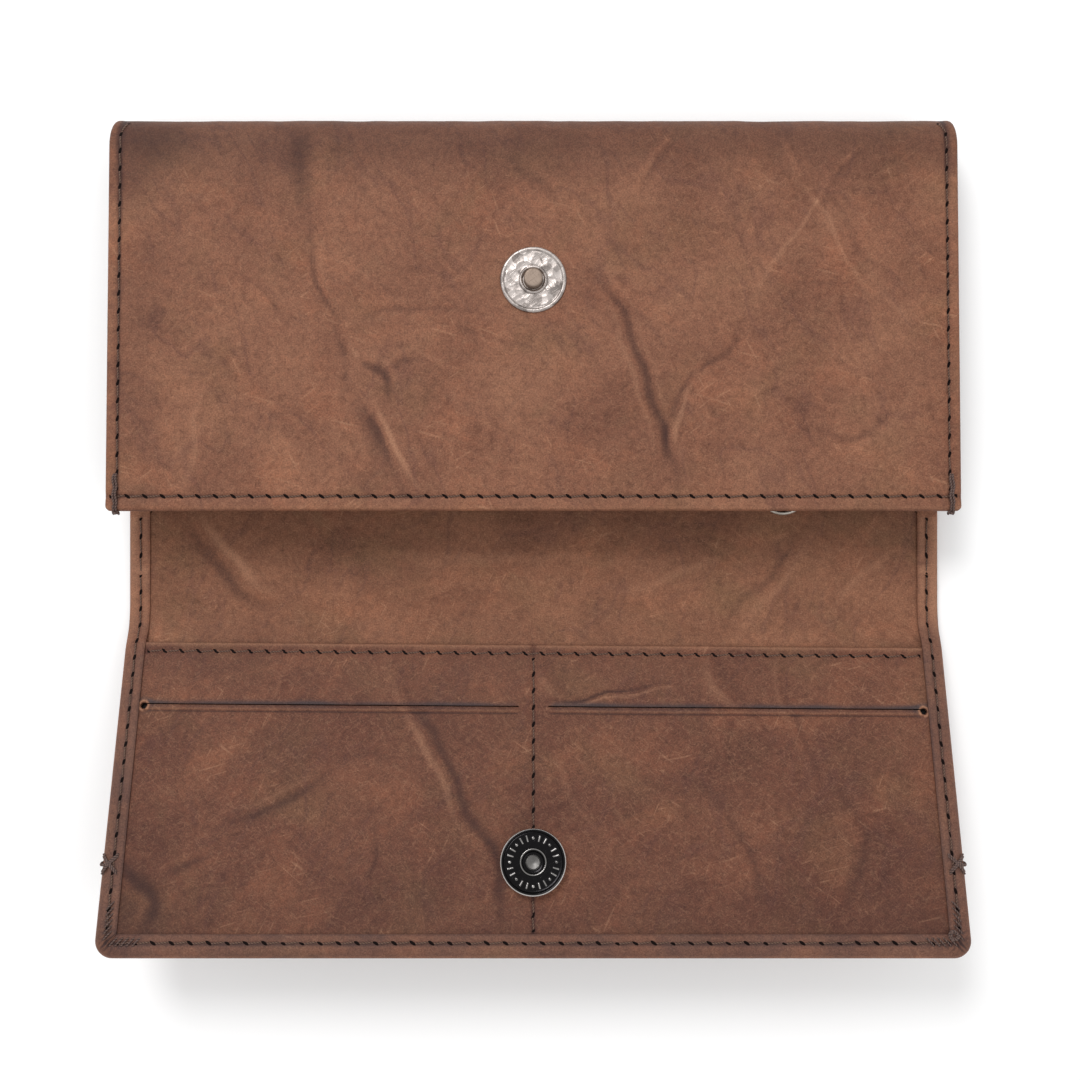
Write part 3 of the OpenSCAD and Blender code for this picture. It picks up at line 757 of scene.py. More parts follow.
def stitch_groove(distance, along, depth=0.16, phase=0.0):
    """A stitch line's groove, with a dimple at each hole."""
    hole = bell((along + phase + PITCH / 2) % PITCH - PITCH / 2, 0.55)
    return -depth * bell(distance, 0.7) - 0.16 * bell(distance, 0.55) * hole


def hide_relief(x, length):
    """The hide's own soft unevenness, continuous over every fold."""
    return 0.10 * waves(x, length, 26, 5) + 0.045 * waves(x, length, 9, 6) + 0.02 * waves(x, length, 4, 7)


# Points of the creases on the pouch's front and on the spine are (x, distance from the first fold).

FRONT_CREASES = [
    ([(-54, 91), (-53, 82), (-51, 68)], 2.6, -0.14, 0.34),
    ([(-51, 72), (-50, 60), (-47, 52), (-43, 42), (-42, 32)], 1.1, -0.22, 0.55),
    ([(-42, 34), (-37, 23), (-34, 12)], 2.0, -0.14, 0.40),
    ([(-50, 56), (-43, 44), (-39, 38)], 0.5, 0.14, -0.40),
    ([(-40, 38), (-36, 37), (-33, 35), (-32, 28)], 1.1, -0.22, 0.75),
    ([(-33, 36), (-29, 39), (-24, 39)], 0.8, -0.16, 0.48),
    ([(-36, 28), (-31, 19), (-25, 9)], 0.7, 0.24, -0.46),
    ([(-38, 27), (-33, 18), (-29, 8)], 1.1, -0.20, 0.52),
    ([(-62, 56), (-58, 51), (-54, 46)], 0.9, -0.14, 0.42),
    ([(-41, 45), (-34, 50), (-25, 51), (-11, 49)], 0.7, -0.16, 0.42),
    ([(-31, 45), (-18, 46.5), (-6, 43), (4, 39)], 0.6, -0.14, 0.36),
    ([(-42, 81), (-35, 73), (-29, 66)], 0.9, -0.12, 0.28),
    ([(-75, 33), (-76, 22), (-78, 10)], 0.9, 0.20, -0.42),
    ([(-60, 30), (-56, 20), (-57, 10)], 0.9, 0.14, -0.24),
    ([(-30, 9), (-27, 5)], 2.6, 0.10, 0.55),
    ([(-74, 9), (-70, 5)], 2.2, 0.10, 0.42),
    ([(-12, 16), (-6, 26), (2, 38)], 1.0, -0.12, 0.26),
    ([(18, 54), (22, 44), (27, 30), (31, 18), (33, 6)], 1.1, -0.26, 0.66),
    ([(14, 57), (19, 44), (24, 30), (28, 16)], 0.8, 0.26, -0.42),
    ([(50, 50), (43, 41), (35, 34), (31, 26), (29, 15)], 0.9, -0.18, 0.50),
    ([(38, 38), (34, 30), (32, 20)], 0.6, 0.16, -0.34),
    ([(31, 90), (26, 83), (21, 74)], 0.8, 0.14, -0.26),
    ([(56, 88), (64, 75), (72, 60), (76, 55)], 0.6, 0.16, -0.46),
    ([(74, 88), (64, 75), (54, 60), (48, 50)], 0.6, 0.16, -0.44),
    ([(66, 77), (74, 64), (80, 58)], 0.9, -0.12, 0.34),
    ([(58, 58), (66, 56), (74, 57)], 0.8, -0.12, 0.34),
    ([(84, 34), (78, 24), (70, 21), (62, 23)], 1.0, -0.18, 0.46),
    ([(86, 46), (80, 52), (76, 60)], 0.8, 0.12, -0.24),
    ([(10, 62), (16, 56), (22, 47)], 1.2, -0.14, 0.34),
    ([(-5, 84), (4, 76), (8, 68)], 1.3, -0.10, 0.22),
    ([(44, 22), (52, 30), (60, 34)], 1.1, -0.10, 0.26),
]


def closed_end_shade_and_left_darkening(x, y, low, high, wave_y):
    """Painted shade darkening the leather towards the closed end, where its turn faces away from the light,
    and darker towards the left side.
    """
    left = smooth(-72, -90, x) * (0.8 + 0.5 * waves(x, wave_y, 18, 13))
    return 0.52 * (1 - smooth(low, high, y)) + 0.26 * left


def front_surface(x, y):
    """Relief and tone of the pouch front. y is the hide's length from the closed end. Its tone holds painted
    shade in the creases, along the stitch grooves and towards the closed end, and painted highlights along
    the rolled edges and in a patch on the right.
    """
    fold_at = front_end + mouth_y - fold1_y - y
    height, crease_shading = creases(x, fold_at, FRONT_CREASES)
    edge = pouch_half - np.abs(x)
    mouth = front_end - y
    inner = smooth(1.0, 6.0, edge) * smooth(0.5, 6.0, mouth)
    side = stitch_groove(edge - SIDE_SEAM_IN, y) * smooth(6, 9, y)
    hem = stitch_groove(mouth - MOUTH_SEAM_IN, x)
    puff = 0.12 * bell(edge - 1.2, 0.8) + 0.10 * bell(mouth - 1.2, 0.9)
    bulge = 0.35 * np.cos(np.clip(x / pouch_half, -1, 1) * PI / 2) * np.sin(np.clip(y / front_end, 0, 1) * PI)
    out = hide_relief(x, y) * inner + height * inner + side + hem + puff + bulge
    # Painted shade along the side and mouth stitch grooves.
    dark = 0.66 * bell(edge - SIDE_SEAM_IN, 0.52) + 0.55 * bell(mouth - MOUTH_SEAM_IN, 0.40)
    # Painted highlights along the rolled side edges and the rolled mouth.
    dark = dark - 0.20 * bell(edge - 0.9, 0.8) - 0.30 * bell(mouth - 0.7, 0.5)
    dark = dark + closed_end_shade_and_left_darkening(x, y, 9, 29, y)
    # A painted highlight, a sheen on the right of the front; and lighter along the left edge strip.
    dark = dark - 0.22 * bell(x - 84, 9) * bell(fold_at - 38, 16) - 0.16 * smooth(-93.6, -94.4, x)
    return out, crease_shading * inner + dark


def front_roll(y):
    return FRONT_ROLL + 0 * y


def make_front_leather():
    rows = np.concatenate([[0, 0.1, 0.3], np.arange(0.7, front_end - 6, 0.66),
                           np.linspace(front_end - 5.6, front_end - 1.3, 14)])
    end_turn = np.concatenate([1 + np.linspace(0, 1, 9), 2 + np.linspace(0.12, 1, 9)])
    base, info = turned_grid(front_place, pouch_half, rows, front_end, end_turn, front_roll,
                             HEM, 12.0, 1.2, turned_columns(272, 8, 4))
    out, tone = front_surface(info["x"], np.minimum(info["y"], front_end))
    fade = np.where(info["turned"], np.clip(1 - info["n"] / FRONT_ROLL, 0, 1), 1)
    out = out * fade - 0.2 * (1 - smooth(0, 0.5, info["rim"]))
    tone = np.where(info["n"] > FRONT_ROLL, 0.25, tone)
    piece = hide("pouch_front_leather", base, info, (0, 0, 1), out, info["y"], {"tone": tone})
    dress(piece, "mouth", "front_panel", "closed_end_turn")


def back_roll(y):
    return 1.0 + 0.3 * smooth(back_end - 4.0, back_end - 1.0, y)


def make_back_leather():
    rows = np.concatenate([[0, 0.1, 0.3], np.arange(0.8, back_end - 1.0, 0.9), [back_end - 0.5, back_end]])
    base, info = turned_grid(back_place, wallet_half, rows, back_end, [], back_roll,
                             HEM, 0.0, 0.0, turned_columns(214, 8, 4))
    x, y = info["x"], info["y"]
    edge = wallet_half - np.abs(x)
    flat = np.where(info["turned"], 0.0, 1.0)
    out = (hide_relief(x, -y) - 0.16) * smooth(2, 8, edge) * flat * (1 - smooth(back_end - 3, back_end, y))
    out = out + 2.4 * stitch_groove(edge - STITCH_IN, y) * smooth(11, 13, y) * flat
    out = np.minimum(out, 0.0) * (y > QUARTER) + out * (y <= QUARTER)
    # Painted shade along the stitch groove and a painted highlight along the rolled edge.
    tone = 0.40 * bell(edge - STITCH_IN, 0.7) * flat - 0.25 * bell(edge - 0.8, 0.7) * flat
    tone = tone + closed_end_shade_and_left_darkening(x, y, 3, 22, -y)
    tone = tone + 0.10 * waves(x, y, 30, 12) * smooth(0, 10, y)
    out = out - 0.2 * (1 - smooth(0, 0.5, info["rim"]))
    piece = hide("pouch_back_leather", base, info, (0, 0, -1), out, -y, {"tone": tone})
    dress(piece, "pouch", "back_panel")


def hem_roll(y):
    """Radius of the rolled side, which is larger where the board and the card panel lie in it."""
    return 1.3 + 0.8 * smooth(flap_corner + 1.5, flap_corner + 8.5, y)


def flap_surface(info, y, fade):
    """Relief, tone and soot of the outer face and the turned hems of the spine and the flap. The tone holds
    painted shade along the stitch grooves and a painted highlight along the outer fold of each hem.
    """
    x = info["x"]
    side = np.abs(wallet_half - np.abs(x) - STITCH_IN)
    from_end = flap_end - info["y"]
    end = np.abs(from_end - STITCH_IN)
    outer = np.where(info["turned"], 0.0, 1.0)
    inner = smooth(2, 8, wallet_half - np.abs(x)) * smooth(2, 8, from_end) * outer
    out = (hide_relief(x, -HIDE_TO_MID - y) - 0.16) * inner * fade
    out = np.where(outer > 0, np.minimum(out, 0.0), out)
    line = np.minimum(side, np.where(wallet_half - np.abs(x) > STITCH_IN - 0.5, end, 9.0))
    out = out + 2.2 * stitch_groove(line, np.where(side < end, y, x)) * outer
    # Painted shade along the stitch grooves, with uneven tone.
    tone = 0.4 * bell(line, 0.7) * outer + 0.12 * waves(x, y, 24, 31) + 0.05
    on_hem = info["n"] > 1.6 * hem_roll(y)
    seam = np.abs(info["inset"] - STITCH_IN)
    out = out + np.where(on_hem, -0.10 * bell(seam, 0.6) + 0.06 * waves(x, y, 5, 33), 0.0)
    on_flap = smooth(flap_corner - 2, flap_corner + 16, info["y"])
    # On the hems: lighter on the spine and darker on the flap, painted shade along the seam, and a painted
    # highlight along the outer fold.
    hem = -0.38 + 0.50 * on_flap + 0.52 * bell(seam, 0.42) - 0.20 * bell(info["inset"] - 1.0, 0.9)
    hem = hem + 0.35 * (1 - smooth(0.0, 0.7, info["rim"]))
    soot = np.where(info["n"] > 1.6 * hem_roll(info["y"]),
                    0.16 + 0.26 * on_flap + 0.08 * waves(x, info["y"], 12, 34), 0.0)
    out = out - 0.15 * (1 - smooth(0, 0.45, info["rim"]))
    return out, tone + np.where(on_hem, hem, 0.0), soot


def corner_pleats(info):
    """Small folds, between -1 and 1, where the hem is gathered in the two corners of the flap."""
    side, end = info["from_side"], info["from_end"]
    wave = np.sin(2 * PI * (side - end) / 1.35 + 0.5 * np.sin(side + end))
    near = smooth(10.5, 7.5, side + end) * smooth(0.7, 1.8, np.minimum(side, end))
    return np.where(info["n"] > 3.9, wave * near, 0.0)


def make_spine_and_flap():
    columns = turned_columns(226, 8, 14)
    rows = np.concatenate([np.arange(MID_Y - SPLIT_Y, -0.4, 0.7), [-0.1, 0.0]])
    base, info = turned_grid(flap_place, wallet_half, rows, 0.0, [], hem_roll, HEM, 0.0, 0.0, columns)
    out, tone, soot = flap_surface(info, info["y"], 1.0)
    piece = hide("spine_leather_first_half", base, info, (0, 0, -1), out, -HIDE_TO_MID - info["y"],
                 {"tone": tone, "soot": soot})
    dress(piece, "fold1")
    rows = np.concatenate([[0, 0.1], np.arange(0.6, flap_end - 6, 0.75),
                           np.linspace(flap_end - 5.7, flap_end - 2.2, 12)])
    end_turn = np.concatenate([1 + np.linspace(0, 1, 9), 2 + np.linspace(0.07, 0.93, 13), [2.97, 3.0]])
    base, info = turned_grid(flap_place, wallet_half, rows, flap_end, end_turn, hem_roll,
                             HEM, HEM, 4.0, columns)
    out, tone, soot = flap_surface(info, np.minimum(info["y"], flap_end), smooth(0.2, 3.0, np.abs(info["y"])))
    pleats = corner_pleats(info)
    # Painted highlights on the pleats' ridges and painted shade in their hollows, over a darker corner.
    tone = tone - 0.45 * pleats + 0.20 * (pleats != 0)
    piece = hide("flap_leather_turned", base, info, (0, 0, -1), out + 0.12 * pleats, -HIDE_TO_MID - info["y"],
                 {"tone": tone, "soot": soot})
    dress(piece, "fold2", "spine_leather", "flap_leather")


# ---------------------------------------------------------------- linings and the card panel

SPINE_CREASES = [
    ([(-85, 3), (-80, -2), (-74, -9), (-68, -15), (-60, -20)], 2.0, -0.30, 0.66),
    ([(-80, 2), (-74, -5), (-67, -11)], 1.6, 0.16, -0.30),
    ([(-56, -1), (-49, -3), (-40, -3)], 2.6, -0.10, 0.40),
    ([(-94, -6), (-92, -12), (-93, -18)], 2.6, 0.05, -0.30),
    ([(63, 3), (61, -4), (55, -11), (49, -17), (43, -27)], 1.7, -0.20, 0.52),
    ([(-40, -4), (-20, -7), (5, -6), (30, -8)], 1.4, 0.16, -0.20),
    ([(20, -16), (34, -10), (46, -5)], 0.9, 0.14, -0.26),
    ([(-30, -18), (-14, -14), (-2, -16)], 1.0, -0.12, 0.30),
    ([(70, -18), (78, -10), (86, -4)], 0.9, 0.12, -0.26),
]

CARD_CREASES = [
    ([(-32, 12), (-27, 22), (-21, 32), (-14, 46), (-8, 58), (-7, 70)], 1.3, -0.24, 0.66),
    ([(-29, 24), (-24, 34), (-17, 48)], 0.7, 0.14, -0.26),
    ([(-45, 35), (-50, 40), (-55, 44), (-65, 47), (-70, 50)], 1.1, -0.20, 0.58),
    ([(-48, 34), (-36, 33), (-31, 37)], 0.8, -0.14, 0.36),
    ([(-93, 55), (-88, 60), (-83, 65), (-85, 71)], 1.3, -0.20, 0.50),
    ([(-70, 55), (-77, 57), (-81, 60)], 1.0, -0.14, 0.40),
    ([(-36, 49), (-35, 56), (-37, 61)], 0.7, -0.14, 0.42),
    ([(-58, 15), (-59, 21)], 0.7, -0.10, 0.40),
    ([(43, 10), (45, 16), (50, 21)], 1.6, -0.14, 0.50),
    ([(60, 9), (58, 17), (61, 25), (64, 35), (66, 45)], 0.9, -0.16, 0.42),
    ([(3, 12), (7, 20)], 1.3, -0.12, 0.40),
    ([(3, 32), (10, 44), (22, 60)], 1.0, 0.14, -0.26),
    ([(30, 34), (44, 46), (52, 66)], 1.2, -0.14, 0.34),
    ([(66, 36), (74, 50), (70, 66)], 1.3, -0.14, 0.36),
    ([(2, 21.2), (9, 20.4), (20, 18.2), (34, 15.8)], 0.45, -0.16, 0.95),
]


def card_skew(x, s):
    """The card panel was sewn in a little askew."""
    return 0.75 * x / wallet_half * (1 - smooth(30, 60, s))


def from_hole(x, s):
    """Distance from the middle of the nearer punched hole, at the outer end of a slit."""
    return np.hypot(np.abs(x) - SLIT_OUT, s - SLIT_AT - CARD_HOLE)


def card_surface(x, s):
    """Relief and tone of the card panel, with its seams and the lips of its slits. The tone holds painted
    shade in the creases, along the seam and divider grooves and in the crease under each slit, a painted
    highlight along the top edge, and painted shade towards the free end and its outer corners.
    """
    height, crease_shading = creases(x, s, CARD_CREASES)
    below, from_seam = s - SLIT_AT, s - CARD_SEAM
    out = 0.10 * waves(x, s, 24, 41) + 0.04 * waves(x, s, 8, 42) + height
    out = out * smooth(0.5, 5, 91 - np.abs(x)) * smooth(0.5, 4, s - CARD_EDGE)
    out = out + stitch_groove(from_seam, x)
    out = out + stitch_groove(np.abs(x), s) * (np.abs(s - snap_s) > 7.5)
    in_slit = smooth(SLIT_IN - 1, SLIT_IN + 1, np.abs(x)) * (np.abs(x) < SLIT_OUT)
    lips = 0.20 * bell(below - 0.8, 0.5) - 0.18 * bell(below - 1.55, 0.4) - 0.16 * bell(below, 0.4)
    # Painted shade along the seam groove and a painted highlight along the rounded top edge.
    tone = crease_shading + 0.52 * bell(from_seam, 0.42) - 0.34 * bell(s - CARD_EDGE - 0.5, 0.45)
    # Painted shade along the divider's stitch groove.
    tone = tone + 0.60 * bell(x, 0.45)
    # Painted shade in the crease under each slit's lip, and a lighter strip on the lip.
    tone = tone + in_slit * (0.80 * bell(below - 1.6, 0.28) - 0.40 * bell(below - 1.15, 0.3))
    # Lighter above the slits; painted shade darkening the panel towards the flap's free end, and towards its
    # outer corners there.
    tone = tone - 0.13 * (1 - smooth(-4, 4, below)) + 0.36 * smooth(38, 78, s)
    tone = tone + 0.22 * smooth(70, 95, np.abs(x)) * smooth(20, 60, s)
    return out + in_slit * lips, tone


def card_soot(x, s):
    """The grey smudge that the edges of the slits have taken."""
    in_slit = smooth(SLIT_IN - 1, SLIT_IN + 2, np.abs(x)) * smooth(SLIT_OUT + 2.5, SLIT_OUT + 0.5, np.abs(x))
    uneven = 0.8 + 0.35 * waves(x, s, 14, 46)
    below, ring = s - SLIT_AT, from_hole(x, s)
    smudge = np.where(below < 0, bell(below, 1.0), 0.45 * bell(below, 1.3))
    return smudge * in_slit * uneven * smooth(0.9, 1.6, ring) + 0.25 * bell(ring - 1.8, 0.4)


def make_card_panel():
    """The panel, whose slits and punched holes are really cut through it."""
    end = flap_len - CARD_IN
    half = wallet_half - CARD_IN
    near_hole = SLIT_OUT + np.linspace(-1.2, 1.2, 13)
    columns = np.concatenate([spaced(-half, half, 0.66), [-SLIT_IN, SLIT_IN], near_hole, -near_hole])
    xs = np.unique(np.round(columns, 4))
    lips = SLIT_AT + np.concatenate([[-1.5, -1.0, -0.7, -0.45, -0.25], SLIT_W / 2 * np.array([-1, 1]),
                                     np.arange(0.3, 2.2, 0.15)])
    ss = np.unique(np.round(np.concatenate([spaced(CARD_EDGE, end, 0.66), lips]), 4))
    ss = ss[(ss < lips[0]) | (ss > lips[-1]) | np.isin(ss, np.round(lips, 4))]
    x, s = np.meshgrid(xs, ss)
    mid_x, mid_s = np.meshgrid((xs[:-1] + xs[1:]) / 2, (ss[:-1] + ss[1:]) / 2)
    cut = (np.abs(np.abs(mid_x) - (SLIT_IN + SLIT_OUT) / 2) < (SLIT_OUT - SLIT_IN) / 2)
    cut = cut & (np.abs(mid_s - SLIT_AT) < SLIT_W / 2)
    punched = from_hole(mid_x, mid_s) < 0.75
    out, tone = card_surface(x, s)
    sink, thick = rounded(edge_distance(x, s, -half, half, CARD_EDGE, end), CARD_TOP - 0.8)
    ring = from_hole(x, s)
    out = out + sink + 0.14 * bell(ring - 1.2, 0.35)
    fields = {"tone": tone - 0.75 * bell(ring - 1.15, 0.28), "soot": card_soot(x, s)}
    piece = shell("card_panel_leather", card_place(x, s + card_skew(x, s), CARD_TOP), (0, 0, 1), out, thick,
                  card_leather, grid(x, -s), fields, keep=~(cut | punched))
    dress(piece, "flap", "card_panel")


def make_slot_liners():
    """Two cloth liners behind the card slits."""
    for side, name in SIDES:
        x, s = np.meshgrid(side * spaced(LINER_IN, LINER_OUT, 1.6), spaced(SLIT_AT - 2, LINER_END, 1.6))
        edge = edge_distance(np.abs(x), s, LINER_IN, LINER_OUT, SLIT_AT - 2, LINER_END)
        sink, thick = rounded(edge, 0.25)
        piece = shell(f"{name}_slot_liner_cloth", card_place(x, s, 0.68), (0, 0, 1),
                      sink + 0.05 * waves(x, s, 7, 50), thick, liner_cloth, grid(x, s))
        dress(piece, "flap", f"{name}_slot_liner")


def lining_surface(x, at_y):
    """Relief and tone of the lining of the back and the spine, by distance from the first fold. The tone is
    painted shade and highlights on the creases, and darker along the edges of the hems.
    """
    height, crease_shading = creases(x, at_y - fold1_y, SPINE_CREASES)
    calm = smooth(1.0, 6.0, wallet_half - LINING_IN - np.abs(x))
    out = (0.13 * waves(x, at_y, 17, 61) + 0.06 * waves(x, at_y, 6, 62) + height - 0.05) * calm
    return out, crease_shading * calm - 0.09 + 0.34 * bell(np.abs(x) - wallet_half + HEM, 1.0)


def floor_place(x, y, n):
    """y is the distance from the middle of the spine, and runs on under the pouch where it is below 0."""
    return grid(x, MID_Y - y, n)


def make_floor_linings():
    """The lining of the pouch's back and half the spine, and the rest, which runs on under the card panel."""
    half = wallet_half - LINING_IN
    xs = spaced(-1.0, 1.0, 0.0075, 0.0015, 0.03)
    far = MID_Y - turn_y + 1.5
    near = np.concatenate([np.linspace(far, -18, 46), np.arange(-17.5, -0.2, 0.55), [-0.1, 0.0]])
    under = np.concatenate([[0, 0.1], np.arange(0.5, flap_corner + 9, 0.55),
                            np.linspace(flap_corner + 10, flap_end - 2.6, 40)])
    for name, ys, body, place, nodes in (
            ("floor_lining_leather", near, "fold1", floor_place, ("back_lining", "spine_lining")),
            ("flap_lining_leather", under, "fold2", flap_place, ("flap_lining",))):
        share, y = np.meshgrid(xs, ys)
        x = share * (half - 3.8 * smooth(MID_Y - SPLIT_Y + 0.3, MID_Y - SPLIT_Y - 1.2, y))
        rise = smooth(flap_corner + 0.5, flap_corner + 6, y)
        out, tone = lining_surface(x, MID_Y - y)
        # Painted shadow: near black on the flap lining, seen through the punched holes.
        tone = tone + 2.2 * smooth(3.0, 1.6, from_hole(x, y - flap_corner))
        sink, thick = rounded((1 - np.abs(share)) * half, 0.78)
        piece = shell(name, place(x, y, skin + 0.4 * rise), (0, 0, 1), out * (1 - 0.8 * rise) + sink,
                      thick * (1 - 0.5 * rise), inner_leather, grid(x, -y), {"tone": tone})
        dress(piece, body, *nodes)


def make_pouch_linings():
    """The lining of the closed end, and of the front."""
    half = wallet_half - HEM - 0.2
    end = front_end - 12.6
    xs = spaced(-half, half, 1.5)
    x, y = np.meshgrid(xs, spaced(0.0, end, 1.2))
    sink, thick = rounded(edge_distance(x, y, -half, half, -9, end), LINING)
    piece = shell("front_lining_leather", front_place(x, y, LINING_AT), (0, 0, -1),
                  0.04 * waves(x, y, 15, 64) - 0.04 + sink, thick, inner_leather, grid(x, y),
                  {"tone": 0.1 + 0 * x})
    dress(piece, "mouth", "front_lining")
    x, y = np.meshgrid(xs, np.linspace(0, QUARTER - 1.4, 14))
    base = back_place(x, y, LINING_AT + 0.2 * y / QUARTER)
    piece = shell("closed_end_lining_leather", base, (0, -1, 0), 0.0, LINING, inner_leather, grid(x, y),
                  {"tone": 0.1 + 0 * x})
    dress(piece, "pouch", "closed_end_lining")


def make_board():
    half = wallet_half - BOARD_IN
    x, s = np.meshgrid(spaced(-half, half, 5), spaced(6.0, flap_len - BOARD_IN, 5))
    sink, thick = rounded(edge_distance(x, s, x.min(), x.max(), s.min(), s.max()), 0.75)
    piece = shell("flap_stiffener_board", card_place(x, s, -0.03), (0, 0, 1), sink, thick, card_board,
                  grid(x, s))
    dress(piece, "flap", "flap_board")


def gusset_section(y):
    """The gusset's zigzag at y, from the back's lining to the front's, narrower inside the closed end."""
    low = skin + GUSSET_GAP
    top = closed_h + (turn_y - y) * math.tan(front_slope) - low / math.cos(front_slope)
    if y >= turn_y:
        half = math.sqrt((TURN_R - low) ** 2 - (y - turn_y) ** 2)
        low, top = TURN_R - half, TURN_R + half
    share = [0, 0, 0.04, 0.25, 0.46, 0.5, 0.54, 0.75, 0.96, 1, 1]
    reach = [95.6, 91.5, 88.5, 84.2, 90.4, 91.8, 90.4, 84.2, 88.5, 91.5, 95.6]
    return curve_through(list(zip(reach, [low + t * (top - low) for t in share])), 5)


def make_gussets():
    """Thin leather folded twice, one piece at each side of the pouch."""
    last = TURN_R - skin - GUSSET_GAP - 0.15
    ys = np.concatenate([spaced(mouth_y + 0.8, turn_y - 1.0, 1.2),
                         turn_y + last * np.sin(np.linspace(0, PI / 2, 10))])
    path = np.array([gusset_section(y) for y in ys])
    span = np.cumsum(np.linalg.norm(np.diff(path, axis=1, prepend=path[:, :1]), axis=2), axis=1)
    y = np.broadcast_to(ys[:, None], span.shape)
    inner = smooth(0, 5, span) * smooth(0, 5, span.max() - span)
    for side, name in SIDES:
        out = 0.08 * waves(span, y, 11, 81 + side) * inner
        base = grid(side * path[..., 0], y, path[..., 1])
        piece = shell(f"{name}_gusset_leather", base, (-side, 0, 0), out + GUSSET / 2, GUSSET, gusset_leather,
                      grid(span, y), {"tone": 0.12 * waves(span, y, 8, 85)})
        dress(piece, "gusset", f"{name}_gusset")


# ---------------------------------------------------------------- stitches

def stitch_parts(place, line, level, out=1.0, lean=0.36, pitch=PITCH, radius=0.18):
    """Threads from hole to hole along a line of (x, y), and near-black slanted lenses on the surface at the
    holes, painted shadow that stands for them.
    """
    line = np.asarray(line, float)
    run = np.concatenate([[0], np.cumsum(np.hypot(*np.diff(line, axis=0).T))])
    count = max(1, round(run[-1] / pitch))
    pitch = run[-1] / count

    def at(along, side, lift):
        x, y = np.interp(along, run, line[:, 0]), np.interp(along, run, line[:, 1])
        dx = np.interp(along + 0.3, run, line[:, 0]) - np.interp(along - 0.3, run, line[:, 0])
        dy = np.interp(along + 0.3, run, line[:, 1]) - np.interp(along - 0.3, run, line[:, 1])
        size = np.maximum(np.hypot(dx, dy), 1e-9)
        x, y = x - side * dy / size, y + side * dx / size
        return place(x, y, level(x, y) + out * lift)

    t = np.linspace(0, 1, 9)
    threads, holes = [], []
    for k in range(count):
        along = (k + 0.10 + 0.80 * t) * pitch
        lift = 0.10 - 0.5 * (2 * t - 1) ** 6
        threads.append(tube(at(along, -lean * (t - 0.5), lift), radius, 6, up=up_of(place, line[0], out)))
    # Each hole is a near-black lens on the surface: painted shadow standing for the hole.
    turn = np.linspace(0, 2 * PI, 10, endpoint=False)
    for k in range(count + 1):
        u, v = 0.85 * np.cos(turn), 0.34 * np.sin(turn)
        c, s = math.cos(1.6 * lean), math.sin(1.6 * lean)
        here = np.clip(k * pitch, 0.01, run[-1] - 0.01)
        rim = at(here + u * c - v * s, u * s + v * c, np.full(10, 0.02))
        middle = at(np.array([here]), np.array([0.0]), np.array([0.06]))
        below = at(np.array([here]), np.array([0.0]), np.array([-0.25]))
        points = np.concatenate([rim, middle, below])
        faces = [[a, (a + 1) % 10, 10] for a in range(10)] + [[(a + 1) % 10, a, 11] for a in range(10)]
        holes.append((points, faces, np.zeros((12, 2))))
    return threads, holes


def up_of(place, at, out):
    here, there = (place(np.array([at[0]]), np.array([at[1]]), np.array([n]))[0] for n in (0.0, 1.0))
    return out * (there - here)


def sew(name, body, node, seams):
    """One piece of several seams' threads and painted hole shadows, with a material each."""
    threads = [part for seam in seams for part in seam[0]]
    holes = [part for seam in seams for part in seam[1]]
    points, faces, uv = join_parts(threads + holes)
    piece = make_piece(name, points, faces, thread_dark, uv)
    piece.data.materials.append(hole_shadow)
    in_thread = sum(len(part[1]) for part in threads)
    piece.data.polygons.foreach_set("material_index", [int(k >= in_thread) for k in range(len(faces))])
    dress(piece, body, node)


def straight(x0, y0, x1, y1):
    t = np.linspace(0, 1, max(2, int(math.hypot(x1 - x0, y1 - y0) / 0.5)))[:, None]
    return np.array([[x0, y0]]) * (1 - t) + np.array([[x1, y1]]) * t


def front_level(x, y):
    return -front_surface(x, y)[0]


def hem_level(x, y):
    return 2 * hem_roll(y) - 0.06


def outside_level(x, y):
    return OUTSIDE_LEVEL + 0 * x


HEM_FACES = ((hem_level, 1), (outside_level, -1))


def make_front_stitches():
    half, y = pouch_half - 1.1, front_end - MOUTH_SEAM_IN
    hem = stitch_parts(front_place, straight(-half, y, half, y), front_level, -1)
    sew("mouth_hem_stitches", "mouth", "mouth_hem_thread", [hem])
    for side, name in SIDES:
        x = side * (pouch_half - SIDE_SEAM_IN)
        line = np.vstack([[x - side * 1.3, 5.5], straight(x, 8.5, x, front_end - 4.6)])
        seam = stitch_parts(front_place, line, front_level, -1, lean=0.16)
        sew(f"{name}_seam_stitches", "mouth", f"{name}_seam_thread", [seam])


def make_backtacks():
    """Doubled thread at both ends of the mouth, brought round its edge, with a small knot."""
    parts = []
    over = np.linspace(-0.3, PI + 0.3, 12)
    round_it = np.linspace(0, 2 * PI, 14, endpoint=False)
    for side, _ in SIDES:
        middle = side * (pouch_half - 2.3)
        for off in (-0.28, 0.28):
            y = np.linspace(front_end - 8.4, front_end - 0.9, 16)
            x = middle + off + 0.15 * np.sin(y * 1.7 + off)
            n = -0.22 + 0.5 * ((np.linspace(0, 1, 16) - 0.5) * 2) ** 8
            parts.append(tube(front_place(x, y, n), 0.26, 7))
            y = front_end - 0.9 + 1.05 * np.sin(over)
            edge = front_place(middle + off + 0 * over, y, FRONT_ROLL - 1.1 * np.cos(over))
            parts.append(tube(edge, 0.26, 7, up=(1, 0, 0)))
        y = front_end + 0.35 + 0.25 * np.sin(3 * round_it)
        knot = front_place(middle + 0.6 * np.cos(round_it), y, FRONT_ROLL + 0.5 * np.sin(round_it))
        parts.append(tube(knot, 0.3, 7, closed=True, up=(0, 1, 0.1)))
    points, faces, uv = join_parts(parts)
    piece = make_piece("mouth_thread_tacks", points, faces, tack_dark, uv)
    dress(piece, "mouth", "mouth_backtacks", slot="thread")


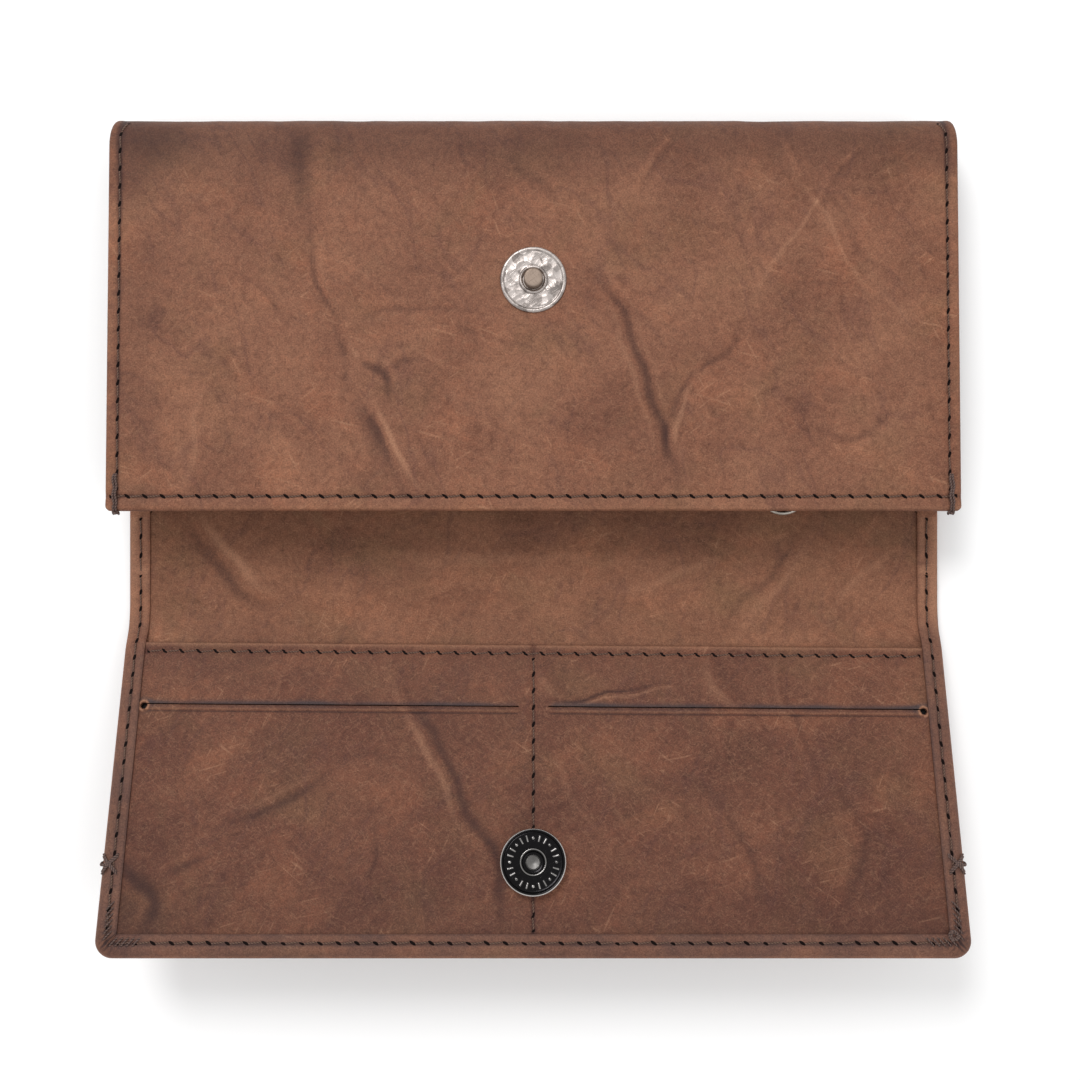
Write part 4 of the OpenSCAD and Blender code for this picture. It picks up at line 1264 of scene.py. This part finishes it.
def make_back_stitches():
    half = wallet_half - STITCH_IN
    seams = [stitch_parts(back_place, straight(x, QUARTER + 2, x, back_end - 1), outside_level, -1)
             for x in (-half, half)]
    sew("back_seam_stitches", "pouch", "back_seam_threads", seams)


def make_flap_stitches():
    """Stitches along the turned hems, over the spine and round the flap, and where they come out behind."""
    half = wallet_half - STITCH_IN
    end = flap_end - FLAP_SEAM_IN
    spine, flap = [], []
    for side, _ in SIDES:
        x = side * half
        for seams, y0, y1 in ((spine, MID_Y - SPLIT_Y + 0.2, -0.05), (flap, 0.05, end - 2.8)):
            for level, out in HEM_FACES:
                seams.append(stitch_parts(flap_place, straight(x, y0, x, y1), level, out, lean=-0.14 * side))
    for level, out in HEM_FACES:
        flap.append(stitch_parts(flap_place, straight(-half + 2.2, end, half - 2.2, end), level, out))
    sew("spine_hem_stitches", "fold1", "spine_seam_threads", spine)
    sew("flap_hem_stitches", "fold2", "flap_edge_thread", flap)


def make_card_stitches():
    def level(x, s):
        return CARD_TOP + card_surface(x, s)[0]

    def place(x, s, n):
        return card_place(x, s + card_skew(x, s), n)

    edge = stitch_parts(place, straight(-90.5, CARD_SEAM, 90.5, CARD_SEAM), level)
    sew("card_edge_stitches", "flap", "card_edge_thread", [edge])
    middle = [stitch_parts(place, straight(0, start, 0, end), level, lean=0.2, pitch=3.8)
              for start, end in ((CARD_SEAM + 1, snap_s - SNAP_ROOM), (snap_s + SNAP_ROOM, flap_len - 5.4))]
    sew("card_divider_stitches", "flap", "card_divider_thread", middle)


def make_bartacks():
    """A cross of thread over each side of the flap, and the thick tack in each corner."""
    parts = []
    top = 2.2 + 0.18

    def thread(points, radius=0.24):
        path = curve_through(points, 6)
        parts.append(tube(card_place(path[:, 0], path[:, 1], path[:, 2]), radius, 7))

    for side, _ in SIDES:
        x = wallet_half - 1.9
        for lean in (-1, 1):
            for off in (0.0, 0.5):
                s = snap_s + off
                thread([(side * (x + 1.5), s + lean * 1.9, top - 0.5),
                        (side * (x + 0.9), s + lean * 1.1, top), (side * x, s, top + 0.2),
                        (side * (x - 1.6), s - lean * 1.6, top),
                        (side * (x - 1.9), s - lean * 1.9, top - 0.5)])
        thread([(side * (wallet_half - 0.4), snap_s - 0.3, 0.6), (side * (wallet_half + 0.1), snap_s, 1.0),
                (side * (wallet_half - 0.2), snap_s + 0.5, 1.9),
                (side * (x + 0.3), snap_s + 0.2, top + 0.1)], 0.3)
        down = [(wallet_half - 3.2, flap_len - 11.0 + 1.25 * k) for k in range(6)]
        along = [(wallet_half - 4.6 - 1.25 * k, flap_len - 3.4) for k in range(5)]
        for ax, ay in down + along:
            thread([(side * (ax + 0.9), ay + 1.0, top - 0.45), (side * (ax + 0.45), ay + 0.5, top + 0.04),
                    (side * (ax - 0.45), ay - 0.5, top + 0.04),
                    (side * (ax - 0.9), ay - 1.0, top - 0.5)], 0.19)
    turn = np.linspace(0, 4 * PI, 26)
    wide = 1.1 - 0.05 * turn
    x, s = wallet_half - 4.3 + wide * np.cos(turn), flap_len - 4.8 + wide * np.sin(turn)
    thread(list(zip(x, s, top + 0.02 + 0.12 * np.sin(1.5 * turn))), 0.27)
    points, faces, uv = join_parts(parts)
    piece = make_piece("flap_thread_tacks", points, faces, tack_dark, uv)
    dress(piece, "flap", "flap_bartacks", slot="thread")


# ---------------------------------------------------------------- snap

def make_stud():
    """A hammered nickel disc with a ring and a flat post."""
    turns = 160
    rng = np.random.default_rng(9)
    spot_r = np.sqrt(rng.uniform(3.4 ** 2, 6.5 ** 2, 46))
    spot_a = rng.uniform(0, 2 * PI, 46)
    spots = np.stack([spot_r * np.cos(spot_a), spot_r * np.sin(spot_a)], -1)
    tilt = rng.uniform(-0.05, 0.05, (46, 2))

    def relief(r, angle, h):
        x, y = r * np.cos(angle), r * np.sin(angle)
        away = np.hypot(x[..., None] - spots[:, 0], y[..., None] - spots[:, 1])
        near = away.argmin(-1)
        facet = 0.05 * away.min(-1) ** 2
        facet = facet + (x - spots[near, 0]) * tilt[near, 0] + (y - spots[near, 1]) * tilt[near, 1]
        return (facet - 0.03) * smooth(3.3, 3.6, r) * (1 - smooth(6.1, 6.5, r)) * (h > 0.5)

    lip = [(7.3, -0.2), (7.5, 0.1), (7.5, 0.55), (7.42, 0.78),
           (7.22, 0.94), (7.0, 1.0), (6.8, 0.97), (6.62, 0.86)]
    plate = [(r, 0.74) for r in np.linspace(6.5, 3.4, 22)]
    ring = [(3.3, 0.76), (3.24, 0.95), (3.1, 1.14), (2.9, 1.22),
            (2.65, 1.18), (2.45, 1.0), (2.36, 0.8), (2.2, 0.8)]
    post = [(2.15, 0.9), (2.15, 2.6), (2.1, 2.82), (1.95, 2.95),
            (1.7, 2.98), (1.2, 2.96), (0.6, 2.97), (0, 2.97)]
    points, faces, uv = lathe([(0, -0.2)] + lip + plate + ring + post, stud_place, turns, relief)
    piece = make_piece("snap_stud_turned", points, faces, nickel, uv)
    piece.data.materials.append(post_nickel)
    plain = (len(lip) + len(plate) + len(ring) - 1) * turns
    under = len(points) - 2
    on_post = [int(min(face) >= plain and max(face) != under) for face in faces]
    piece.data.polygons.foreach_set("material_index", on_post)
    dress(piece, "pouch_front", "snap_stud")


def make_socket():
    """A dished black-nickel case with a ring of plain ticks and dots."""
    def socket_place(x, y, n):
        return card_place(x, snap_s - y, CARD_TOP + n)

    def marks(r, angle):
        turn = angle * 12 / PI
        part = np.abs((turn + 0.5) % 1 - 0.5) * PI / 12 * r
        odd = (np.floor(turn + 0.5) % 3) == 0
        tick = (part < 0.13) & (np.abs(r - 5.2) < 0.72) & ~odd
        dot = (np.hypot(part, r - 5.2) < 0.30) & odd
        return tick | dot

    def relief(r, angle, h):
        rings = 0.05 * bell(r - 6.35, 0.12)
        return (np.where(marks(r, angle), 0.09, 0.0) + rings) * (h > 1.9) * (r < 6.5) * (r > 3.5)

    rim = [(7.3, 0.02), (7.4, 0.2), (7.4, 2.05), (7.36, 2.3),
           (7.22, 2.52), (7.0, 2.64), (6.75, 2.62), (6.6, 2.5)]
    face = [(r, 2.34 - 0.04 * ((6.5 - r) / 3) ** 2) for r in np.linspace(6.5, 3.1, 38)]
    boss = [(3.04, 2.36), (3.0, 2.46), (2.92, 2.54), (2.8, 2.57),
            (2.66, 2.52), (2.54, 2.36), (2.48, 2.1), (2.45, 1.8)]
    well = [(2.42, 1.2), (2.42, 0.5), (2.3, 0.36), (1.8, 0.34), (1.75, 0.1), (0, 0.08)]
    points, faces, uv = lathe([(0, 0.02)] + rim + face + boss + well, socket_place, 288, relief)
    r, angle = np.hypot(uv[:, 0], uv[:, 1]), np.arctan2(uv[:, 1], uv[:, 0]) % (2 * PI)
    worn = 0.42 + 0.16 * waves(uv[:, 0], uv[:, 1], 5, 77)
    # Worn bright ticks and dots; a painted reflection on the rim; and a brighter ring round the boss.
    bright = worn * marks(r, angle) + 0.95 * smooth(6.95, 7.15, r) + 0.45 * bell(r - 2.8, 0.2)
    piece = make_piece("snap_socket_turned", points, faces, black_nickel, uv, {"bright": bright})
    dress(piece, "flap", "snap_socket_case")


# ---------------------------------------------------------------- coin pocket and zip

def make_pocket_bag():
    """One sheet of leather from the lip at the mouth, round the fold, along the rear and back to the zip."""
    low, top, far = -1.5, 0.9, 73.0
    middle = (low + top) / 2
    bends = [(1.2 * math.sin(t), 1.2 * math.cos(t)) for t in np.linspace(0.3, PI - 0.3, 8)]
    lip = [(u, top) for u in np.linspace(70.9, far, 5)]
    fold = [(far + du, middle + dn) for du, dn in bends]
    rear = [(u, low) for u in np.linspace(far - 0.4, 1.4, 48)]
    end = [(1.0 - du, middle - dn) for du, dn in bends]
    front = [(u, top) for u in np.linspace(1.4, 62.6, 42)]
    path = np.array(lip + fold + rear + end + front)
    run = np.concatenate([[0], np.cumsum(np.hypot(*np.diff(path, axis=0).T))])
    x, length = np.meshgrid(spaced(-POCKET_HALF, POCKET_HALF, 1.5), run)
    u = np.interp(length, run, path[:, 0])
    n = np.interp(length, run, path[:, 1])
    pinch = smooth(81.5, 84.8, np.abs(x)) * smooth(low + 0.4, top, n)
    sag = 0.15 * waves(x, u, 22, 91) * smooth(0, 8, 85 - np.abs(x)) * smooth(0, 6, 66 - u) * (n < 0)
    n = n - pinch * (top - low - 0.85) + np.minimum(sag, 0.05)
    sink, thick = rounded(np.minimum(POCKET_HALF - np.abs(x), np.minimum(length, run[-1] - length)), 0.8)
    piece = shell("coin_pocket_bag", pocket_place(x, u, n), (0, 0, -1), 0.4 + sink, thick, inner_leather,
                  grid(x, length), {"tone": 0.1 + 0.1 * waves(x, length, 20, 92)})
    dress(piece, "pouch", "coin_pocket_rear_wall", "coin_pocket_front_wall")


def make_pocket_stitches():
    def level(x, u):
        return 1.28 + 0 * x

    seams = [stitch_parts(pocket_place, straight(-80, u, 80, u), level, pitch=3.0, radius=0.16)
             for u in (2.8, ZIP_AT - 5.5, 72.2)]
    sew("coin_pocket_stitches", "pouch", "coin_pocket_seam_threads", seams)


def make_zip():
    for name, outer, shift, sign in (("mouth_side", 6.2, 0.0, 1), ("inner_side", 6.0, 0.5, -1)):
        x, v = np.meshgrid(spaced(-82, 82, 1.2), np.linspace(1.2, outer, 9))
        out = 0.02 * waves(x, v, 5, 95) + 0.12 * bell(v - 1.2, 0.5)
        base = pocket_place(x, ZIP_AT + sign * v, 0.42 + 0 * x)
        piece = shell(f"zip_tape_{name}_cloth", base, (0, 0, 1), out, 0.3, tape_cloth, grid(x, v))
        dress(piece, "pouch", f"zip_tape_{name}")
        teeth = [tooth(-ZIP_HALF + (k + 0.25 + shift) * TOOTH_PITCH, sign)
                 for k in range(int(2 * ZIP_HALF / TOOTH_PITCH))]
        points, faces, uv = join_parts(teeth)
        dress(make_piece(f"zip_teeth_{name}_metal", points, faces, brass, uv), "pouch", f"zip_teeth_{name}")


def tooth(x, sign):
    """One zip tooth: a clamp on the tape with a narrow nib that reaches between its neighbours."""
    outline = [(-0.42, 1.9), (0.42, 1.9), (0.46, 0.7), (0.30, 0.1),
               (0.26, -0.5), (-0.26, -0.5), (-0.30, 0.1), (-0.46, 0.7)]
    points, faces = [], []
    for n, shrink in ((-0.38, 0.72), (-0.26, 1.0), (0.84, 1.0), (0.98, 0.72)):
        points += [(x + a * shrink, ZIP_AT + sign * (0.7 + (b - 0.7) * shrink), n) for a, b in outline]
    for k in range(3):
        for j in range(8):
            i = (j + 1) % 8
            faces.append([8 * k + j, 8 * k + i, 8 * k + 8 + i, 8 * k + 8 + j])
    faces += [list(range(7, -1, -1)), list(range(24, 32))]
    if sign > 0:
        faces = [face[::-1] for face in faces]
    p = np.array(points)
    return pocket_place(p[:, 0], p[:, 1], p[:, 2]), faces, p[:, :2]


def make_ring():
    turn = np.linspace(0, 2 * PI, 96, endpoint=False)
    low, high = node_box("pull_ring")
    centre = (low + high) / 2
    radius = (high[0] - low[0]) / 2 - RING_WIRE
    u = ZIP_AT + (zip_pin[1] - centre[1]) / math.cos(pocket_tilt)
    path = pocket_place(centre[0] + radius * np.cos(turn), u + radius * np.sin(turn), RING_N + 0 * turn)
    points, faces, uv = tube(path, RING_WIRE, 14, closed=True)
    dress(make_piece("pull_ring_wire", points, faces, pull_metal, uv), "pull_ring", "pull_ring")


def finish_metal_nodes():
    """CAD nodes whose shape is right: they keep their mesh and get a real finish."""
    for node, material in (("zip_end_stops", brass), ("zip_slider", pull_metal), ("snap_stud_washer", steel),
                           ("snap_socket_washer", steel), ("snap_socket_rivet", steel),
                           ("snap_socket_magnet", magnet_metal)):
        mesh = frame["nodes"][node].data
        mesh.materials.clear()
        mesh.materials.append(material)


make_front_leather()
make_back_leather()
make_spine_and_flap()
make_floor_linings()
make_pouch_linings()
make_board()
make_card_panel()
make_slot_liners()
make_gussets()
make_front_stitches()
make_backtacks()
make_back_stitches()
make_flap_stitches()
make_card_stitches()
make_bartacks()
make_stud()
make_socket()
make_pocket_bag()
make_pocket_stitches()
make_zip()
make_ring()
finish_metal_nodes()


# ---------------------------------------------------------------- floor, light and camera

def make_stage():
    m = Maker("floor", roughness=0.9, specular=0.1)
    cloud = m.noise(m.object_mm(), 300, 2)
    material = m.finish(m.ramp(cloud, [(0.3, (0.955, 0.955, 0.955, 1)), (0.7, (0.975, 0.975, 0.975, 1))]))
    size = 4000.0
    corners = [(-size, -size, -0.35), (size, -size, -0.35), (size, size, -0.35), (-size, size, -0.35)]
    floor = make_piece("floor", corners, [[0, 1, 2, 3]], material)


def make_area_light(name, place, size, power, colour=(1, 1, 1)):
    data = bpy.data.lights.new(name, "AREA")
    data.shape = "DISK"
    data.size = size
    data.energy = power
    data.color = colour
    light = placed(bpy.data.objects.new(name, data))
    light.location = place
    direction = -light.location.normalized()
    light.rotation_mode = "QUATERNION"
    light.rotation_quaternion = direction.to_track_quat("-Z", "Y")


def make_light():
    world = bpy.data.worlds.new("studio")
    world.use_nodes = True
    world.node_tree.nodes["Background"].inputs[0].default_value = (1, 1, 1, 1)
    world.node_tree.nodes["Background"].inputs[1].default_value = 0.82
    bpy.context.scene.world = world
    make_area_light("key", (-0.35, 0.75, 1.0), 0.5, 7.5)
    make_area_light("fill", (0.8, -0.3, 1.1), 0.9, 1.8)
    bpy.context.scene.view_settings.view_transform = "Standard"


def make_camera():
    data = bpy.data.cameras.new("camera")
    data.sensor_width = 36.0
    data.lens = 41.83
    data.clip_start = 0.01
    data.clip_end = 20.0
    camera = placed(bpy.data.objects.new("camera", data))
    camera.location = (1.5 * MM, -2.5 * MM, 300 * MM)
    bpy.context.scene.camera = camera


make_stage()
make_light()
make_camera()
